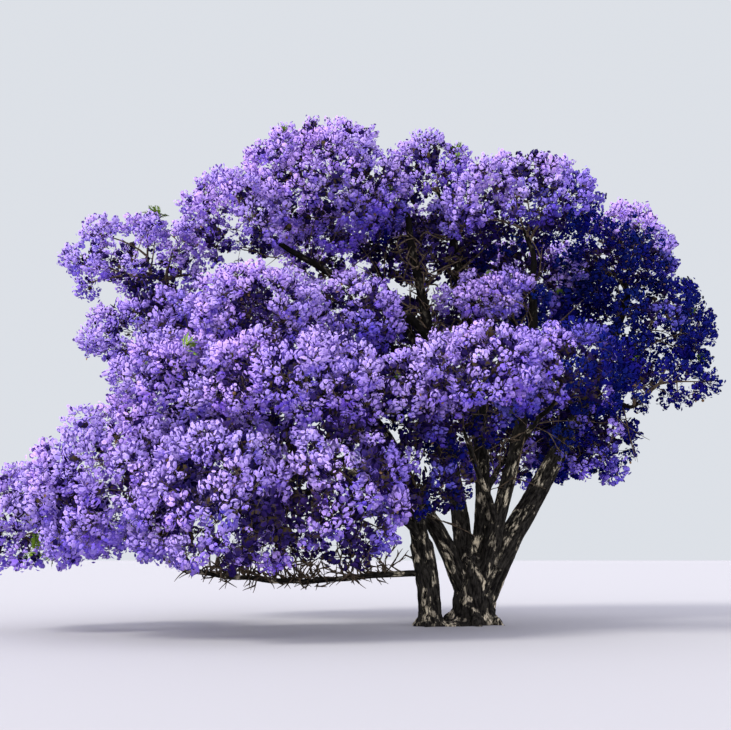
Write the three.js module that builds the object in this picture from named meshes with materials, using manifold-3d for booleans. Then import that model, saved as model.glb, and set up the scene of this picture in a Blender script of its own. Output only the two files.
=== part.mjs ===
// A jacaranda in full bloom: an old open-grown tree with two boles on one root crown, six rising stems,
// boughs that reach out from them, and a billowing crown that hangs low on its long side.
// Millimetres, +Z up. The origin is the middle of the flat cut at ground level, and +X is the short side.

import * as THREE from "three";
import { mergeVertices } from "three/addons/utils/BufferGeometryUtils.js";
import Module from "manifold-3d";

const wasm = await Module();
wasm.setup();

// Gaps between neighbouring pieces
const SEAM = 0.3; // where one limb meets another, face to face
const CELL_MARGIN = 12; // between a mass and the plane that it shares with its neighbour
const LIMB_MARGIN = 25; // between a twig or spray and any limb

// Facets
const BOLE_SIDES = 12;
const BOLE_STEPS = 6;
const STEM_SIDES = 8;
const STEM_STEPS = 7;
const BOUGH_SIDES = 6;
const BOUGH_STEPS = 5;
const SPUR_SIDES = 6;
const SAMPLE_STEP = 180; // spacing of the points that stand for a limb when distances are tested

// Blossom sprays: each solid stands for one branchlet with its panicles
const SPRAY_SHARE = 0.37; // a spray's radius, as a share of its mass's mean radius
const SMALL_SPRAY = 0.74; // size of a spray set where a whole one has no room, as a share
const SPRAY_SPREAD = 0.16; // share by which a spray's radius varies
const SPRAYS_TRIED = 17; // directions tried in each mass
const SPRAYS_TRIED_BEHIND = 12; // in a mass on the far side, where a few large ones do
const FAR_SIDE = 2600; // a mass whose centre lies beyond this, along Y, is on the far side
const SPRAY_SPACING = 0.78; // least distance between two sprays, as a share of their radii together
const DIRECTION_JITTER = 0.12;
const GOLDEN_ANGLE = Math.PI * (3 - Math.sqrt(5));
const PULL_BACK = 0.1; // a spray that doesn't fit moves this share of the way in, and tries again
const LEAST_REACH = 0.5; // share of the mass's radius inside which no spray is set
const OPEN_UNDERSIDE = -0.78; // directions steeper than this, downwards, carry no spray

// Twigs
const TWIG_BASE = 46;
const TWIG_SUNK = 0.4; // how far past its centre a twig runs into its spray, as a share of its radius
const FORK_AT = 0.4; // share of a twig's way at which the next twig may leave it
const FORK_THINNER = 0.6; // radius of that next twig, as a share of the first
const STEM_KNOTS = 7; // places along a mass's stem where a twig may leave it
const PATH_PRICE = 0.42; // how much a twig prefers a short way back to the stem
const STEM_HEART = 0.3; // share of the way from the mass's centre back to its bough where its stem ends

// Ground
const FLARE_HEIGHT = 520;
const ROOT_SPURS = 4; // on each bole
const BED_RADIUS = 1020; // the low mound that joins both boles
const BED_HEIGHT = 190;

// The two boles, from the ground to their forks
const BOLES = {
  left_bole: {
    path: [[-700, -300, -60], [-740, -310, 620], [-800, -330, 1250], [-940, -350, 2150]],
    base: 300,
    end: 265,
    spurTurn: 0.5,
  },
  right_bole: {
    path: [[400, 260, -60], [415, 280, 400], [430, 300, 700], [450, 315, 980]],
    base: 500,
    end: 470,
    spurTurn: 0.1,
  },
};

// The stems that rise from the forks. Each has its route, and its radius at the fork and at its tip.
const STEMS = {
  left_stem: {
    path: [[-910, -350, 1900], [-1110, -560, 2950], [-1650, -1150, 4300], [-2750, -1750, 5750]],
    base: 230,
    end: 120,
  },
  leaning_stem: {
    path: [[230, 230, 700], [-430, 60, 2250], [-1900, 330, 4250], [-4100, 420, 6150], [-6350, 300, 7100]],
    base: 240,
    end: 95,
  },
  middle_stem: {
    path: [[320, 430, 700], [130, 720, 3000], [-310, 640, 5400], [-640, 480, 7900], [-1100, 60, 10150]],
    base: 265,
    end: 100,
  },
  upright_stem: {
    path: [[530, 430, 720], [780, 600, 3300], [740, 680, 5200], [500, 800, 7900], [80, 800, 10950]],
    base: 235,
    end: 95,
  },
  inner_right_stem: {
    path: [[600, 200, 720], [1080, 80, 2600], [1620, 150, 4500], [2080, -40, 6800], [2150, -320, 9000]],
    base: 230,
    end: 95,
  },
  right_stem: {
    path: [[680, 330, 650], [1320, 470, 1900], [2050, 820, 3050], [3080, 1330, 4650], [4200, 1650, 6500],
      [5100, 1780, 8700]],
    base: 335,
    end: 120,
  },
};

// The masses of blossom. Each has its centre, its three radii, and the limb that its bough leaves.
// at is the share of that limb's length, sag lowers the middle of the bough, and thick is its radius
// at the foot. A mass with no thick grows straight from the limb, and one with no at from the limb's tip.
const MASSES = {
  top_left_dome: {
    centre: [-3400, -500, 11400], radii: [2550, 2350, 1950],
    limb: "middle_stem",
  },
  top_left_shoulder: {
    centre: [-5550, -800, 10400], radii: [2000, 1950, 1500],
    limb: "middle_stem", at: 0.72, sag: 100, thick: 125,
  },
  top_middle: {
    centre: [-500, 800, 12300], radii: [1400, 1600, 1400],
    limb: "upright_stem",
  },
  top_right_dome: {
    centre: [1750, -600, 10900], radii: [2350, 2200, 1400],
    limb: "inner_right_stem",
  },
  right_shoulder: {
    centre: [5100, 1800, 10100], radii: [1700, 2000, 1850],
    limb: "right_stem",
  },
  right_side: {
    centre: [5800, 1300, 7850], radii: [1800, 2100, 1850],
    limb: "right_stem", at: 0.72, sag: -150, thick: 130,
  },
  right_tail: {
    centre: [5600, 300, 6150], radii: [1600, 1400, 900],
    limb: "right_stem", at: 0.6, sag: -250, thick: 105,
  },
  left_upper: {
    centre: [-8600, 400, 9600], radii: [2250, 2000, 1500],
    limb: "leaning_stem", at: 0.74, sag: 200, thick: 115,
  },
  left_middle: {
    centre: [-8100, 0, 7500], radii: [2050, 1900, 1450],
    limb: "leaning_stem",
  },
  centre_left: {
    centre: [-5000, -2300, 7500], radii: [1950, 1850, 1300],
    limb: "left_stem",
  },
  centre: {
    centre: [-2900, -600, 7800], radii: [1800, 1800, 1300],
    limb: "middle_stem", at: 0.62,
  },
  skirt_upper_left: {
    centre: [-6650, -2500, 5550], radii: [2000, 1950, 1600],
    limb: "left_stem", at: 0.86, sag: -300, thick: 110,
  },
  skirt_upper_middle: {
    centre: [-4000, -4000, 5350], radii: [2400, 2000, 1500],
    limb: "left_stem", at: 0.68, sag: -200, thick: 105,
  },
  skirt_upper_right: {
    centre: [-1750, -2800, 5200], radii: [1950, 1800, 1350],
    limb: "middle_stem", at: 0.38, sag: -250, thick: 105,
  },
  skirt_far_left: {
    centre: [-10100, -1900, 2500], radii: [1950, 2000, 1550],
    limb: "left_bole", at: 0.6, sag: 1300, thick: 75,
  },
  skirt_left: {
    centre: [-7750, -4000, 3100], radii: [2000, 1950, 2150],
    limb: "left_stem", at: 0.32, sag: -500, thick: 120,
  },
  skirt_middle: {
    centre: [-5400, -5000, 2700], radii: [2050, 1800, 1900],
    limb: "left_stem", at: 0.18, sag: -450, thick: 115,
  },
  skirt_right: {
    centre: [-3150, -4450, 2900], radii: [2000, 1750, 1900],
    limb: "left_bole", at: 0.95, sag: -250, thick: 105,
  },
  skirt_inner: {
    centre: [-1100, -2300, 3550], radii: [1500, 1450, 1400],
    limb: "left_stem", at: 0.1, sag: -100, thick: 90,
  },
  middle_right: {
    centre: [250, -3800, 5700], radii: [1900, 1800, 1250],
    limb: "upright_stem", at: 0.3, sag: -350, thick: 115,
  },
  middle_far_right: {
    centre: [2500, -2500, 5950], radii: [1750, 1750, 1400],
    limb: "inner_right_stem", at: 0.42, sag: -150, thick: 105,
  },
  over_stems: {
    centre: [-100, -2600, 4900], radii: [1700, 1400, 900],
    limb: "inner_right_stem", at: 0.2, sag: -100, thick: 85,
  },
  right_under: {
    centre: [3700, 2200, 4900], radii: [1900, 1700, 1600],
    limb: "right_stem", at: 0.56,
  },
  centre_right: {
    centre: [1100, 300, 8500], radii: [1700, 1700, 1000],
    limb: "inner_right_stem", at: 0.8,
  },
  upper_middle: {
    centre: [-200, 2000, 10500], radii: [1900, 1700, 1600],
    limb: "upright_stem", at: 0.8,
  },
  back_top: {
    centre: [-2400, 3200, 11100], radii: [2900, 2200, 1500],
    limb: "middle_stem", at: 0.6, sag: 150, thick: 120,
  },
  back_right_top: {
    centre: [2700, 3700, 9400], radii: [2700, 2300, 2100],
    limb: "upright_stem", at: 0.55, sag: 150, thick: 120,
  },
  back_left: {
    centre: [-6500, 3100, 7600], radii: [2800, 2400, 2200],
    limb: "leaning_stem", at: 0.58, sag: 100, thick: 115,
  },
  back_middle: {
    centre: [-1500, 4200, 7600], radii: [2700, 2200, 2300],
    limb: "middle_stem", at: 0.3, sag: -100, thick: 125,
  },
  back_right: {
    centre: [2300, 4500, 5500], radii: [2700, 2250, 2250],
    limb: "upright_stem", at: 0.2, sag: -150, thick: 115,
  },
  back_left_low: {
    centre: [-6600, 2600, 4200], radii: [2750, 2300, 2150],
    limb: "leaning_stem", at: 0.3, sag: -250, thick: 125,
  },
};
const FIRST_SEED = 41;

const MATERIALS = {
  bark: new THREE.MeshStandardMaterial({ color: 0x4a3d33, roughness: 0.92, metalness: 0 }),
  blossom: new THREE.MeshStandardMaterial({ color: 0x9a7be0, roughness: 0.6, metalness: 0 }),
};

const vector = (p) => new THREE.Vector3(...p);

// A seeded stream of numbers from 0 to 1, the same on every run
function randomStream(seed) {
  let state = seed >>> 0;
  return () => {
    state = (state + 0x6d2b79f5) >>> 0;
    let t = state;
    t = Math.imul(t ^ (t >>> 15), t | 1);
    t ^= t + Math.imul(t ^ (t >>> 7), t | 61);
    return ((t ^ (t >>> 14)) >>> 0) / 4294967296;
  };
}

// A three.js geometry as a solid
function solidOf(geometry) {
  const bare = geometry.clone();
  bare.deleteAttribute("normal");
  bare.deleteAttribute("uv");
  const merged = mergeVertices(bare, 1e-3);
  const mesh = new wasm.Mesh({
    numProp: 3,
    vertProperties: new Float32Array(merged.attributes.position.array),
    triVerts: new Uint32Array(merged.index.array),
  });
  return new wasm.Manifold(mesh);
}

// The solid's largest piece, with the scraps that a cut leaves behind dropped
function largestPiece(solid) {
  return solid.decompose().reduce((a, b) => (a.volume() >= b.volume() ? a : b));
}

// A named mesh in the part's own frame
function meshOf(name, solid, material) {
  const made = solid.getMesh();
  const geometry = new THREE.BufferGeometry();
  geometry.setAttribute("position", new THREE.BufferAttribute(new Float32Array(made.vertProperties), 3));
  geometry.setIndex(new THREE.BufferAttribute(new Uint32Array(made.triVerts), 1));
  geometry.computeVertexNormals();
  const mesh = new THREE.Mesh(geometry, material);
  mesh.name = name;
  return mesh;
}

// A limb is a curve with a radius that tapers along it, and samples that stand for it in distance tests
function limb(curve, base, end) {
  const length = curve.getLength();
  const count = Math.max(4, Math.ceil(length / SAMPLE_STEP));
  const radiusAt = (t) => end + (base - end) * Math.pow(1 - t, 0.85);
  const samples = [...Array(count + 1).keys()].map((i) => ({
    point: curve.getPointAt(i / count),
    radius: radiusAt(i / count),
  }));
  return { curve, base, end, length, radiusAt, samples };
}

function throughPoints(points) {
  return new THREE.CatmullRomCurve3(points.map(vector), false, "centripetal");
}

// The limb's solid: a closed cylinder bent along its curve, grown by grow all round
function limbSolid(shape, sides, steps, grow = 0, radiusAt = shape.radiusAt) {
  const tube = new THREE.CylinderGeometry(1, 1, 1, sides, steps);
  const frames = shape.curve.computeFrenetFrames(steps, false);
  const centres = [...Array(steps + 1).keys()].map((i) => shape.curve.getPointAt(i / steps));
  centres[0].addScaledVector(frames.tangents[0], -grow);
  centres[steps].addScaledVector(frames.tangents[steps], grow);
  const position = tube.getAttribute("position");
  for (let i = 0; i < position.count; i++) {
    const ring = Math.round((position.getY(i) + 0.5) * steps);
    const radius = radiusAt(ring / steps) + grow;
    const place = centres[ring].clone();
    place.addScaledVector(frames.normals[ring], position.getX(i) * radius);
    place.addScaledVector(frames.binormals[ring], -position.getZ(i) * radius);
    position.setXYZ(i, place.x, place.y, place.z);
  }
  return solidOf(tube);
}

// The two boles on their root crown, with spurs and a low bed, all grown by grow
function crownOfRoots(boles, grow) {
  const flared = (shape) => (t) => {
    const height = t * shape.length;
    return shape.radiusAt(t) * (1 + 0.45 * Math.exp((-3 * height) / FLARE_HEIGHT));
  };
  const parts = Object.values(boles).map(
    (shape) => limbSolid(shape, BOLE_SIDES, BOLE_STEPS, grow, flared(shape)));
  for (const [name, shape] of Object.entries(boles)) {
    for (let k = 0; k < ROOT_SPURS; k++) {
      const turn = BOLES[name].spurTurn + (k * 2 * Math.PI) / ROOT_SPURS;
      const out = new THREE.Vector3(Math.cos(turn), Math.sin(turn), 0);
      const foot = shape.curve.getPointAt(0);
      const spur = new THREE.QuadraticBezierCurve3(
        foot.clone().addScaledVector(out, shape.base * 0.3).setZ(FLARE_HEIGHT * 0.6),
        foot.clone().addScaledVector(out, shape.base * 1.15).setZ(FLARE_HEIGHT * 0.3),
        foot.clone().addScaledVector(out, shape.base * 1.8).setZ(-40),
      );
      parts.push(limbSolid(limb(spur, shape.base * 0.5, shape.base * 0.26), SPUR_SIDES, 2, grow));
    }
  }
  const bed = new THREE.SphereGeometry(1, 10, 6);
  bed.rotateX(Math.PI / 2);
  bed.scale(BED_RADIUS + grow, BED_RADIUS * 0.62 + grow, BED_HEIGHT + grow);
  bed.rotateZ(Math.PI / 7);
  parts.push(solidOf(bed));
  return wasm.Manifold.union(parts);
}

// The trunk: all of that, cut flat at ground level
function trunkSolid(boles) {
  const below = new THREE.BoxGeometry(9000, 9000, 2000);
  below.translate(0, 0, -1000);
  return largestPiece(crownOfRoots(boles, 0).subtract(solidOf(below)));
}

function meanRadius(mass) {
  return (mass.radii.x + mass.radii.y + mass.radii.z) / 3;
}

// Whether a ball keeps to the mass's own space: inside its ellipsoid, and on its side of each shared plane
function keepsToCell(mass, point, radius) {
  const room = mass.radii.clone().subScalar(radius);
  if (point.clone().sub(mass.centre).divide(room).length() > 1 + 1e-6) return false;
  return mass.planes.every((plane) => plane.distanceToPoint(point) > radius + CELL_MARGIN);
}

// The planes that a mass shares with the masses near it, each with its normal towards the mass
function sharedPlanes(name, masses) {
  const own = masses[name];
  const weight = (mass) => meanRadius(mass) ** 2;
  return Object.keys(masses).filter((other) => other !== name).map((other) => {
    const away = masses[other].centre.clone().sub(own.centre);
    const span = away.length();
    const reach = (span * span + weight(own) - weight(masses[other])) / (2 * span);
    const normal = away.clone().negate().normalize();
    return new THREE.Plane().setFromNormalAndCoplanarPoint(
      normal, own.centre.clone().addScaledVector(normal, -reach));
  });
}

// The last point on the way from the mass's centre to a far point that is still inside its space
function entryPoint(mass, from, clear) {
  const steps = 200;
  let entry = mass.centre.clone();
  for (let i = 1; i <= steps; i++) {
    const point = mass.centre.clone().lerp(from, i / steps);
    if (point.distanceTo(from) < clear || !keepsToCell(mass, point, clear * 0.6)) break;
    entry = point;
  }
  return entry;
}

// A bough: it leaves its limb along that limb's own lean, and ends pointing at the heart of its mass
function boughCurve(mass, parent) {
  const foot = parent.curve.getPointAt(mass.at);
  const lean = parent.curve.getTangentAt(mass.at);
  const tip = entryPoint(mass, foot, mass.thick + 60);
  const across = tip.clone().sub(foot);
  const span = across.length();
  const start = across.clone().normalize().lerp(lean, 0.35).normalize();
  const finish = mass.centre.clone().sub(tip).normalize();
  const drop = new THREE.Vector3(0, 0, -mass.sag);
  return new THREE.CubicBezierCurve3(
    foot,
    foot.clone().addScaledVector(start, span * 0.36).addScaledVector(drop, 1.1),
    tip.clone().addScaledVector(finish, -span * 0.3).addScaledVector(drop, 1.1),
    tip,
  );
}

// Whether a ball stays clear of every limb
function clearOfLimbs(limbs, point, radius) {
  return limbs.every((shape) => shape.samples.every(
    (s) => s.point.distanceTo(point) > s.radius + radius + LIMB_MARGIN));
}

// Whether a twig stays clear of every limb, tested at points along it
function twigIsClear(limbs, a, b, radius) {
  const count = Math.max(2, Math.ceil(a.distanceTo(b) / 120));
  for (let i = 0; i <= count; i++) {
    if (!clearOfLimbs(limbs, a.clone().lerp(b, i / count), radius)) return false;
  }
  return true;
}

// The mass's own stem: from its foot straight on along its limb, then to its heart
function massStem(mass, foot, direction) {
  const heart = mass.centre.clone().lerp(foot, STEM_HEART);
  const span = foot.distanceTo(heart);
  return [foot, foot.clone().addScaledVector(direction, span * 0.4), heart];
}

// Where a spray of this radius can be set in this direction: as far out as the mass's space, the limbs
// and the sprays set before it allow
function roomFor(mass, direction, radius, places, limbs) {
  const room = mass.radii.clone().subScalar(radius);
  for (let reach = 1; reach > LEAST_REACH; reach -= PULL_BACK) {
    const point = mass.centre.clone().add(direction.clone().multiply(room).multiplyScalar(reach));
    const apart = places.every((p) => p.point.distanceTo(point) > SPRAY_SPACING * (p.radius + radius));
    if (apart && keepsToCell(mass, point, radius) && clearOfLimbs(limbs, point, radius)) return point;
  }
  return null;
}

// The places of a mass's sprays: even over its ellipsoid by the golden angle and jittered by its seed.
// One that doesn't fit is tried again smaller, and else skipped.
function sprayPlaces(mass, limbs, random) {
  const turn = random() * 2 * Math.PI;
  const tries = mass.centre.y > FAR_SIDE ? SPRAYS_TRIED_BEHIND : SPRAYS_TRIED;
  const places = [];
  for (let k = 0; k < tries; k++) {
    const z = 1 - (2 * (k + 0.5)) / tries;
    const ring = Math.sqrt(1 - z * z);
    const angle = turn + k * GOLDEN_ANGLE;
    const jitter = new THREE.Vector3(random() - 0.5, random() - 0.5, random() - 0.5);
    const direction = new THREE.Vector3(ring * Math.cos(angle), ring * Math.sin(angle), z);
    direction.addScaledVector(jitter, 2 * DIRECTION_JITTER).normalize();
    const whole = SPRAY_SHARE * meanRadius(mass) * (1 + SPRAY_SPREAD * (2 * random() - 1));
    if (direction.z < OPEN_UNDERSIDE) continue;
    for (const radius of [whole, whole * SMALL_SPRAY]) {
      const point = roomFor(mass, direction, radius, places, limbs);
      if (!point) continue;
      places.push({ point, radius, direction });
      break;
    }
  }
  return places;
}

// The mass's twigs: each spray, from the heart outwards, is joined to the free knot of the growing twig
// tree that gives it the shortest way, with part of the way back to the foot counted in
function twigTree(mass, stem, places, limbs) {
  const knots = [];
  const along = new THREE.CatmullRomCurve3(stem, false, "centripetal");
  for (let i = 0; i < STEM_KNOTS; i++) {
    const t = 0.4 + (0.55 * i) / (STEM_KNOTS - 1);
    knots.push({ point: along.getPointAt(t), back: t * along.getLength(), base: TWIG_BASE });
  }
  const heart = stem[2];
  const order = [...places].sort((p, q) => p.point.distanceTo(heart) - q.point.distanceTo(heart));
  const twigs = [];
  for (const place of order) {
    const price = (n) => n.point.distanceTo(place.point) + PATH_PRICE * n.back;
    const ranked = knots.filter((n) => !n.taken).sort((m, n) => price(m) - price(n));
    const knot = ranked.slice(0, 4).find((n) => twigIsClear(limbs, n.point, place.point, n.base));
    if (!knot) continue;
    knot.taken = true;
    const fork = knot.point.clone().lerp(place.point, FORK_AT);
    const back = knot.back + knot.point.distanceTo(fork);
    knots.push({ point: fork, back, base: knot.base * FORK_THINNER });
    twigs.push({ from: knot.point, base: knot.base, place });
  }
  return twigs;
}

// A three-sided twig that tapers to a point: a stretched tetrahedron from its foot to its tip
function twigSolid(from, to, base) {
  const along = to.clone().sub(from);
  const up = new THREE.Vector3(0, 1, 0);
  const spike = new THREE.TetrahedronGeometry(1, 0);
  const stand = new THREE.Quaternion().setFromUnitVectors(new THREE.Vector3(1, 1, 1).normalize(), up);
  spike.applyQuaternion(stand);
  spike.translate(0, 1 / 3, 0);
  spike.scale(base * 1.06, along.length() * 0.75, base * 1.06);
  spike.applyQuaternion(new THREE.Quaternion().setFromUnitVectors(up, along.normalize()));
  spike.translate(from.x, from.y, from.z);
  return solidOf(spike);
}

// One blossom spray: an eight-faced tuft, broader across than it is deep, inside its ball
function spraySolid(place, random) {
  const tuft = new THREE.OctahedronGeometry(1, 0);
  tuft.rotateY(random() * Math.PI);
  tuft.rotateX((random() - 0.5) * 1.2);
  tuft.scale(place.radius, place.radius * (0.78 + 0.14 * random()), place.radius);
  const turn = new THREE.Quaternion().setFromUnitVectors(new THREE.Vector3(0, 1, 0), place.direction);
  tuft.applyQuaternion(turn);
  tuft.translate(...place.point.toArray());
  return solidOf(tuft);
}

// One mass: its stem, its twigs and its sprays, fused into one solid
function massSolid(mass, foot, direction, startRadius, limbs, seed) {
  const random = randomStream(seed);
  const places = sprayPlaces(mass, limbs, random);
  const stem = massStem(mass, foot, direction);
  const twigs = twigTree(mass, stem, places, limbs);
  const spine = limb(throughPoints(stem.map((p) => p.toArray())), startRadius, startRadius * 0.6);
  const parts = [limbSolid(spine, 5, 2)];
  for (const { from, base, place } of twigs) {
    const tip = from.clone().lerp(place.point, 1 + (TWIG_SUNK * place.radius) / from.distanceTo(place.point));
    parts.push(twigSolid(from, tip, base));
    parts.push(spraySolid(place, random));
  }
  return wasm.Manifold.union(parts);
}

// The whole tree
function growTree() {
  const tree = new THREE.Group();
  const boles = {};
  for (const [name, row] of Object.entries(BOLES)) {
    boles[name] = limb(throughPoints(row.path), row.base, row.end);
  }
  const stems = {};
  for (const [name, row] of Object.entries(STEMS)) {
    stems[name] = limb(throughPoints(row.path), row.base, row.end);
  }
  const limbs = { ...boles, ...stems };
  const masses = {};
  for (const [name, row] of Object.entries(MASSES)) {
    masses[name] = { ...row, centre: vector(row.centre), radii: vector(row.radii) };
  }
  for (const name of Object.keys(masses)) masses[name].planes = sharedPlanes(name, masses);
  const boughs = {};
  for (const [name, mass] of Object.entries(masses)) {
    if (mass.thick) boughs[name] = limb(boughCurve(mass, limbs[mass.limb]), mass.thick, mass.thick * 0.6);
  }

  // The trunk first, then each stem and bough with what it meets cut out of it
  tree.add(meshOf("trunk", trunkSolid(boles), MATERIALS.bark));
  const cutters = [crownOfRoots(boles, SEAM)];
  const grown = {};
  for (const [name, shape] of Object.entries(stems)) {
    const raw = limbSolid(shape, STEM_SIDES, STEM_STEPS);
    tree.add(meshOf(name, largestPiece(wasm.Manifold.difference([raw, ...cutters])), MATERIALS.bark));
    grown[name] = limbSolid(shape, STEM_SIDES, STEM_STEPS, SEAM);
    cutters.push(grown[name]);
  }
  for (const [name, shape] of Object.entries(boughs)) {
    const raw = limbSolid(shape, BOUGH_SIDES, BOUGH_STEPS);
    const cut = largestPiece(wasm.Manifold.difference([raw, ...cutters]));
    tree.add(meshOf(name + "_bough", cut, MATERIALS.bark));
  }

  // Then each mass, 0.3 mm clear of the tip that it grows on from, or of the stem that it grows beside
  Object.entries(masses).forEach(([name, mass], i) => {
    const own = boughs[name] || limbs[mass.limb];
    const beside = !boughs[name] && mass.at !== undefined;
    const share = beside ? mass.at : 1;
    const foot = own.curve.getPointAt(share);
    const direction = beside ? mass.centre.clone().sub(foot).normalize() : own.curve.getTangentAt(1);
    if (!beside) foot.addScaledVector(direction, SEAM);
    const startRadius = beside ? own.radiusAt(share) * 0.55 : own.end;
    const others = [...Object.values(limbs), ...Object.values(boughs)].filter(
      (shape) => shape !== own || !beside);
    const made = massSolid(mass, foot, direction, startRadius, others, FIRST_SEED + i);
    const solid = beside ? largestPiece(made.subtract(grown[mass.limb])) : made;
    tree.add(meshOf(name, solid, MATERIALS.blossom));
  });
  return tree;
}

export default growTree();
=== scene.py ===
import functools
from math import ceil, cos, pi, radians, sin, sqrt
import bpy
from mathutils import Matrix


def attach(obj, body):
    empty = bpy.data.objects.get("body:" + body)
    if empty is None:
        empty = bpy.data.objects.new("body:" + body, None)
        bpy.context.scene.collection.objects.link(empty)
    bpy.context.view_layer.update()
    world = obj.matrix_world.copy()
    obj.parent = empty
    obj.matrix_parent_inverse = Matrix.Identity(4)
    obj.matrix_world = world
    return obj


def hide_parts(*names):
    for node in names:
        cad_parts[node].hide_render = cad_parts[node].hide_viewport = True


bl_info = {
    "name": "Jacaranda in Bloom",
    "version": (1, 0, 0),
    "blender": (4, 5, 0),
    "location": "View3D > Sidebar > Jacaranda",
    "description": "Grows an old jacaranda in full bloom round its frame: bark, twigs, blossom and leaves",
    "category": "Add Mesh",
}

from types import SimpleNamespace as Row

import bmesh
import bpy
import numpy as np
from mathutils import Vector, noise

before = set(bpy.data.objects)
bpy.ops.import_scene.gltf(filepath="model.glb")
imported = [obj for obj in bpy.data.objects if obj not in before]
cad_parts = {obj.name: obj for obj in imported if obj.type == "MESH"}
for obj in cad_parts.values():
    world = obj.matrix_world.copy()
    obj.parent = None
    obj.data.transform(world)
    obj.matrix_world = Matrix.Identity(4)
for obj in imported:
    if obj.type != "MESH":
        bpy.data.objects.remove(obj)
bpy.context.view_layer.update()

# Everything is in metres, +Z up, with the origin in the middle of the flat cut at ground level.
# These rows and rules are the frame's own: the same limbs and sprays grow here, and finer ones after them.

# Gaps between neighbouring pieces
CELL_MARGIN = 0.012  # between a mass and the plane that it shares with its neighbour
LIMB_MARGIN = 0.025  # between a twig or spray and any limb
SAMPLE_STEP = 0.18  # spacing of the points that stand for a limb when distances are tested

# The frame's sprays, and finer ones between them
FAR_SIDE = 2.6  # a mass whose centre lies beyond this, along Y, is on the far side
SPRAYS_TRIED = 17
SPRAYS_TRIED_BEHIND = 12
SPRAY_SHARE = 0.37  # a spray's radius, as a share of its mass's mean radius
SPRAY_SPREAD = 0.16  # share by which a spray's radius varies
SMALL_SPRAY = 0.74  # size of a spray set where a whole one has no room, as a share
SPRAY_LIMITS = (0.78, 0.5, 0.0)  # spacing, least reach, and how far it may stand into the neighbouring mass
FINE_TRIED = 150
FINE_RADIUS = 0.42
FINE_LIMITS = (0.6, 0.45, 0.42)
DIRECTION_JITTER = 0.12
GOLDEN_ANGLE = pi * (3 - sqrt(5))
PULL_BACK = 0.1
OPEN_UNDERSIDE = -0.78
FIRST_SEED = 41
FINE_SEED = 1041

# Twigs
TWIG_BASE = 0.046
TWIG_SUNK = 0.4
FORK_AT = 0.4
FORK_THINNER = 0.6
STEM_KNOTS = 7
PATH_PRICE = 0.42
STEM_HEART = 0.3
AIRY_TWIGS = 1.6  # how much stouter the twigs of an airy mass are
BARE_TWIG_STEP = 0.32
BARE_TWIG_LEAST_HEIGHT = 4.2  # on a stem
# Limbs with a tangle of bare twigs: from and to which share of the limb, how many twigs, and their rise
TANGLES = {"skirt_far_left": (0.04, 0.74, 100, 0.9), "middle_stem": (0.5, 0.97, 60, 0.3),
           "upright_stem": (0.6, 0.97, 35, 0.3)}

# Ground, trunk and bark
FLARE_HEIGHT = 0.52
FINE_SPURS = 7  # root spurs round each bole
SPUR_TURN = {"left_bole": 0.5, "right_bole": 0.1}
BED_RADIUS = 1.02
BED_HEIGHT = 0.19
CUT_HEIGHT = 0.0005  # of the trunk's flat foot
TRUNK_TOP = 4.6  # height at which the stems pass from the trunk's mesh to the upper bark
BOUGH_WANDER = 0.1  # how far a bough strays from its line
GRAIN_APART = 3.1  # between one limb and the next, where the bark's noise is read
VERTEX_BLOCK = 4000  # vertices measured at a time

# Limbs, each with its path and its radii at foot and tip: the boles, the stems that rise from their forks,
# and two fillets, under the right stem and up the middle where the stems part
BOLES = {
    "left_bole": ([(-0.7, -0.3, -0.06), (-0.74, -0.31, 0.62), (-0.8, -0.33, 1.25), (-0.94, -0.35, 2.15)], 0.3, 0.265),
    "right_bole": ([(0.4, 0.26, -0.06), (0.415, 0.28, 0.4), (0.43, 0.3, 0.7), (0.45, 0.315, 0.98)], 0.5, 0.47),
}
STEMS = {
    "left_stem": ([(-0.91, -0.35, 1.9), (-1.11, -0.56, 2.95), (-1.65, -1.15, 4.3), (-2.75, -1.75, 5.75)], 0.23, 0.12),
    "leaning_stem": (
        [(0.23, 0.23, 0.7), (-0.43, 0.06, 2.25), (-1.9, 0.33, 4.25), (-4.1, 0.42, 6.15), (-6.35, 0.3, 7.1)],
        0.24, 0.095),
    "middle_stem": (
        [(0.32, 0.43, 0.7), (0.13, 0.72, 3.0), (-0.31, 0.64, 5.4), (-0.64, 0.48, 7.9), (-1.1, 0.06, 10.15)],
        0.265, 0.1),
    "upright_stem": (
        [(0.53, 0.43, 0.72), (0.78, 0.6, 3.3), (0.74, 0.68, 5.2), (0.5, 0.8, 7.9), (0.08, 0.8, 10.95)],
        0.235, 0.095),
    "inner_right_stem": (
        [(0.6, 0.2, 0.72), (1.08, 0.08, 2.6), (1.62, 0.15, 4.5), (2.08, -0.04, 6.8), (2.15, -0.32, 9.0)],
        0.23, 0.095),
    "right_stem": (
        [(0.68, 0.33, 0.65), (1.32, 0.47, 1.9), (2.05, 0.82, 3.05), (3.08, 1.33, 4.65), (4.2, 1.65, 6.5),
         (5.1, 1.78, 8.7)], 0.335, 0.12),
}
FILLETS = (
    ([(1.2, 0.44, 1.55), (0.93, 0.38, 0.95), (0.76, 0.36, 0.4), (0.72, 0.36, -0.06)], 0.2, 0.24),
    ([(0.44, 0.28, 0.5), (0.44, 0.27, 1.0), (0.42, 0.3, 1.45), (0.4, 0.4, 1.95)], 0.47, 0.16),
)


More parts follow.
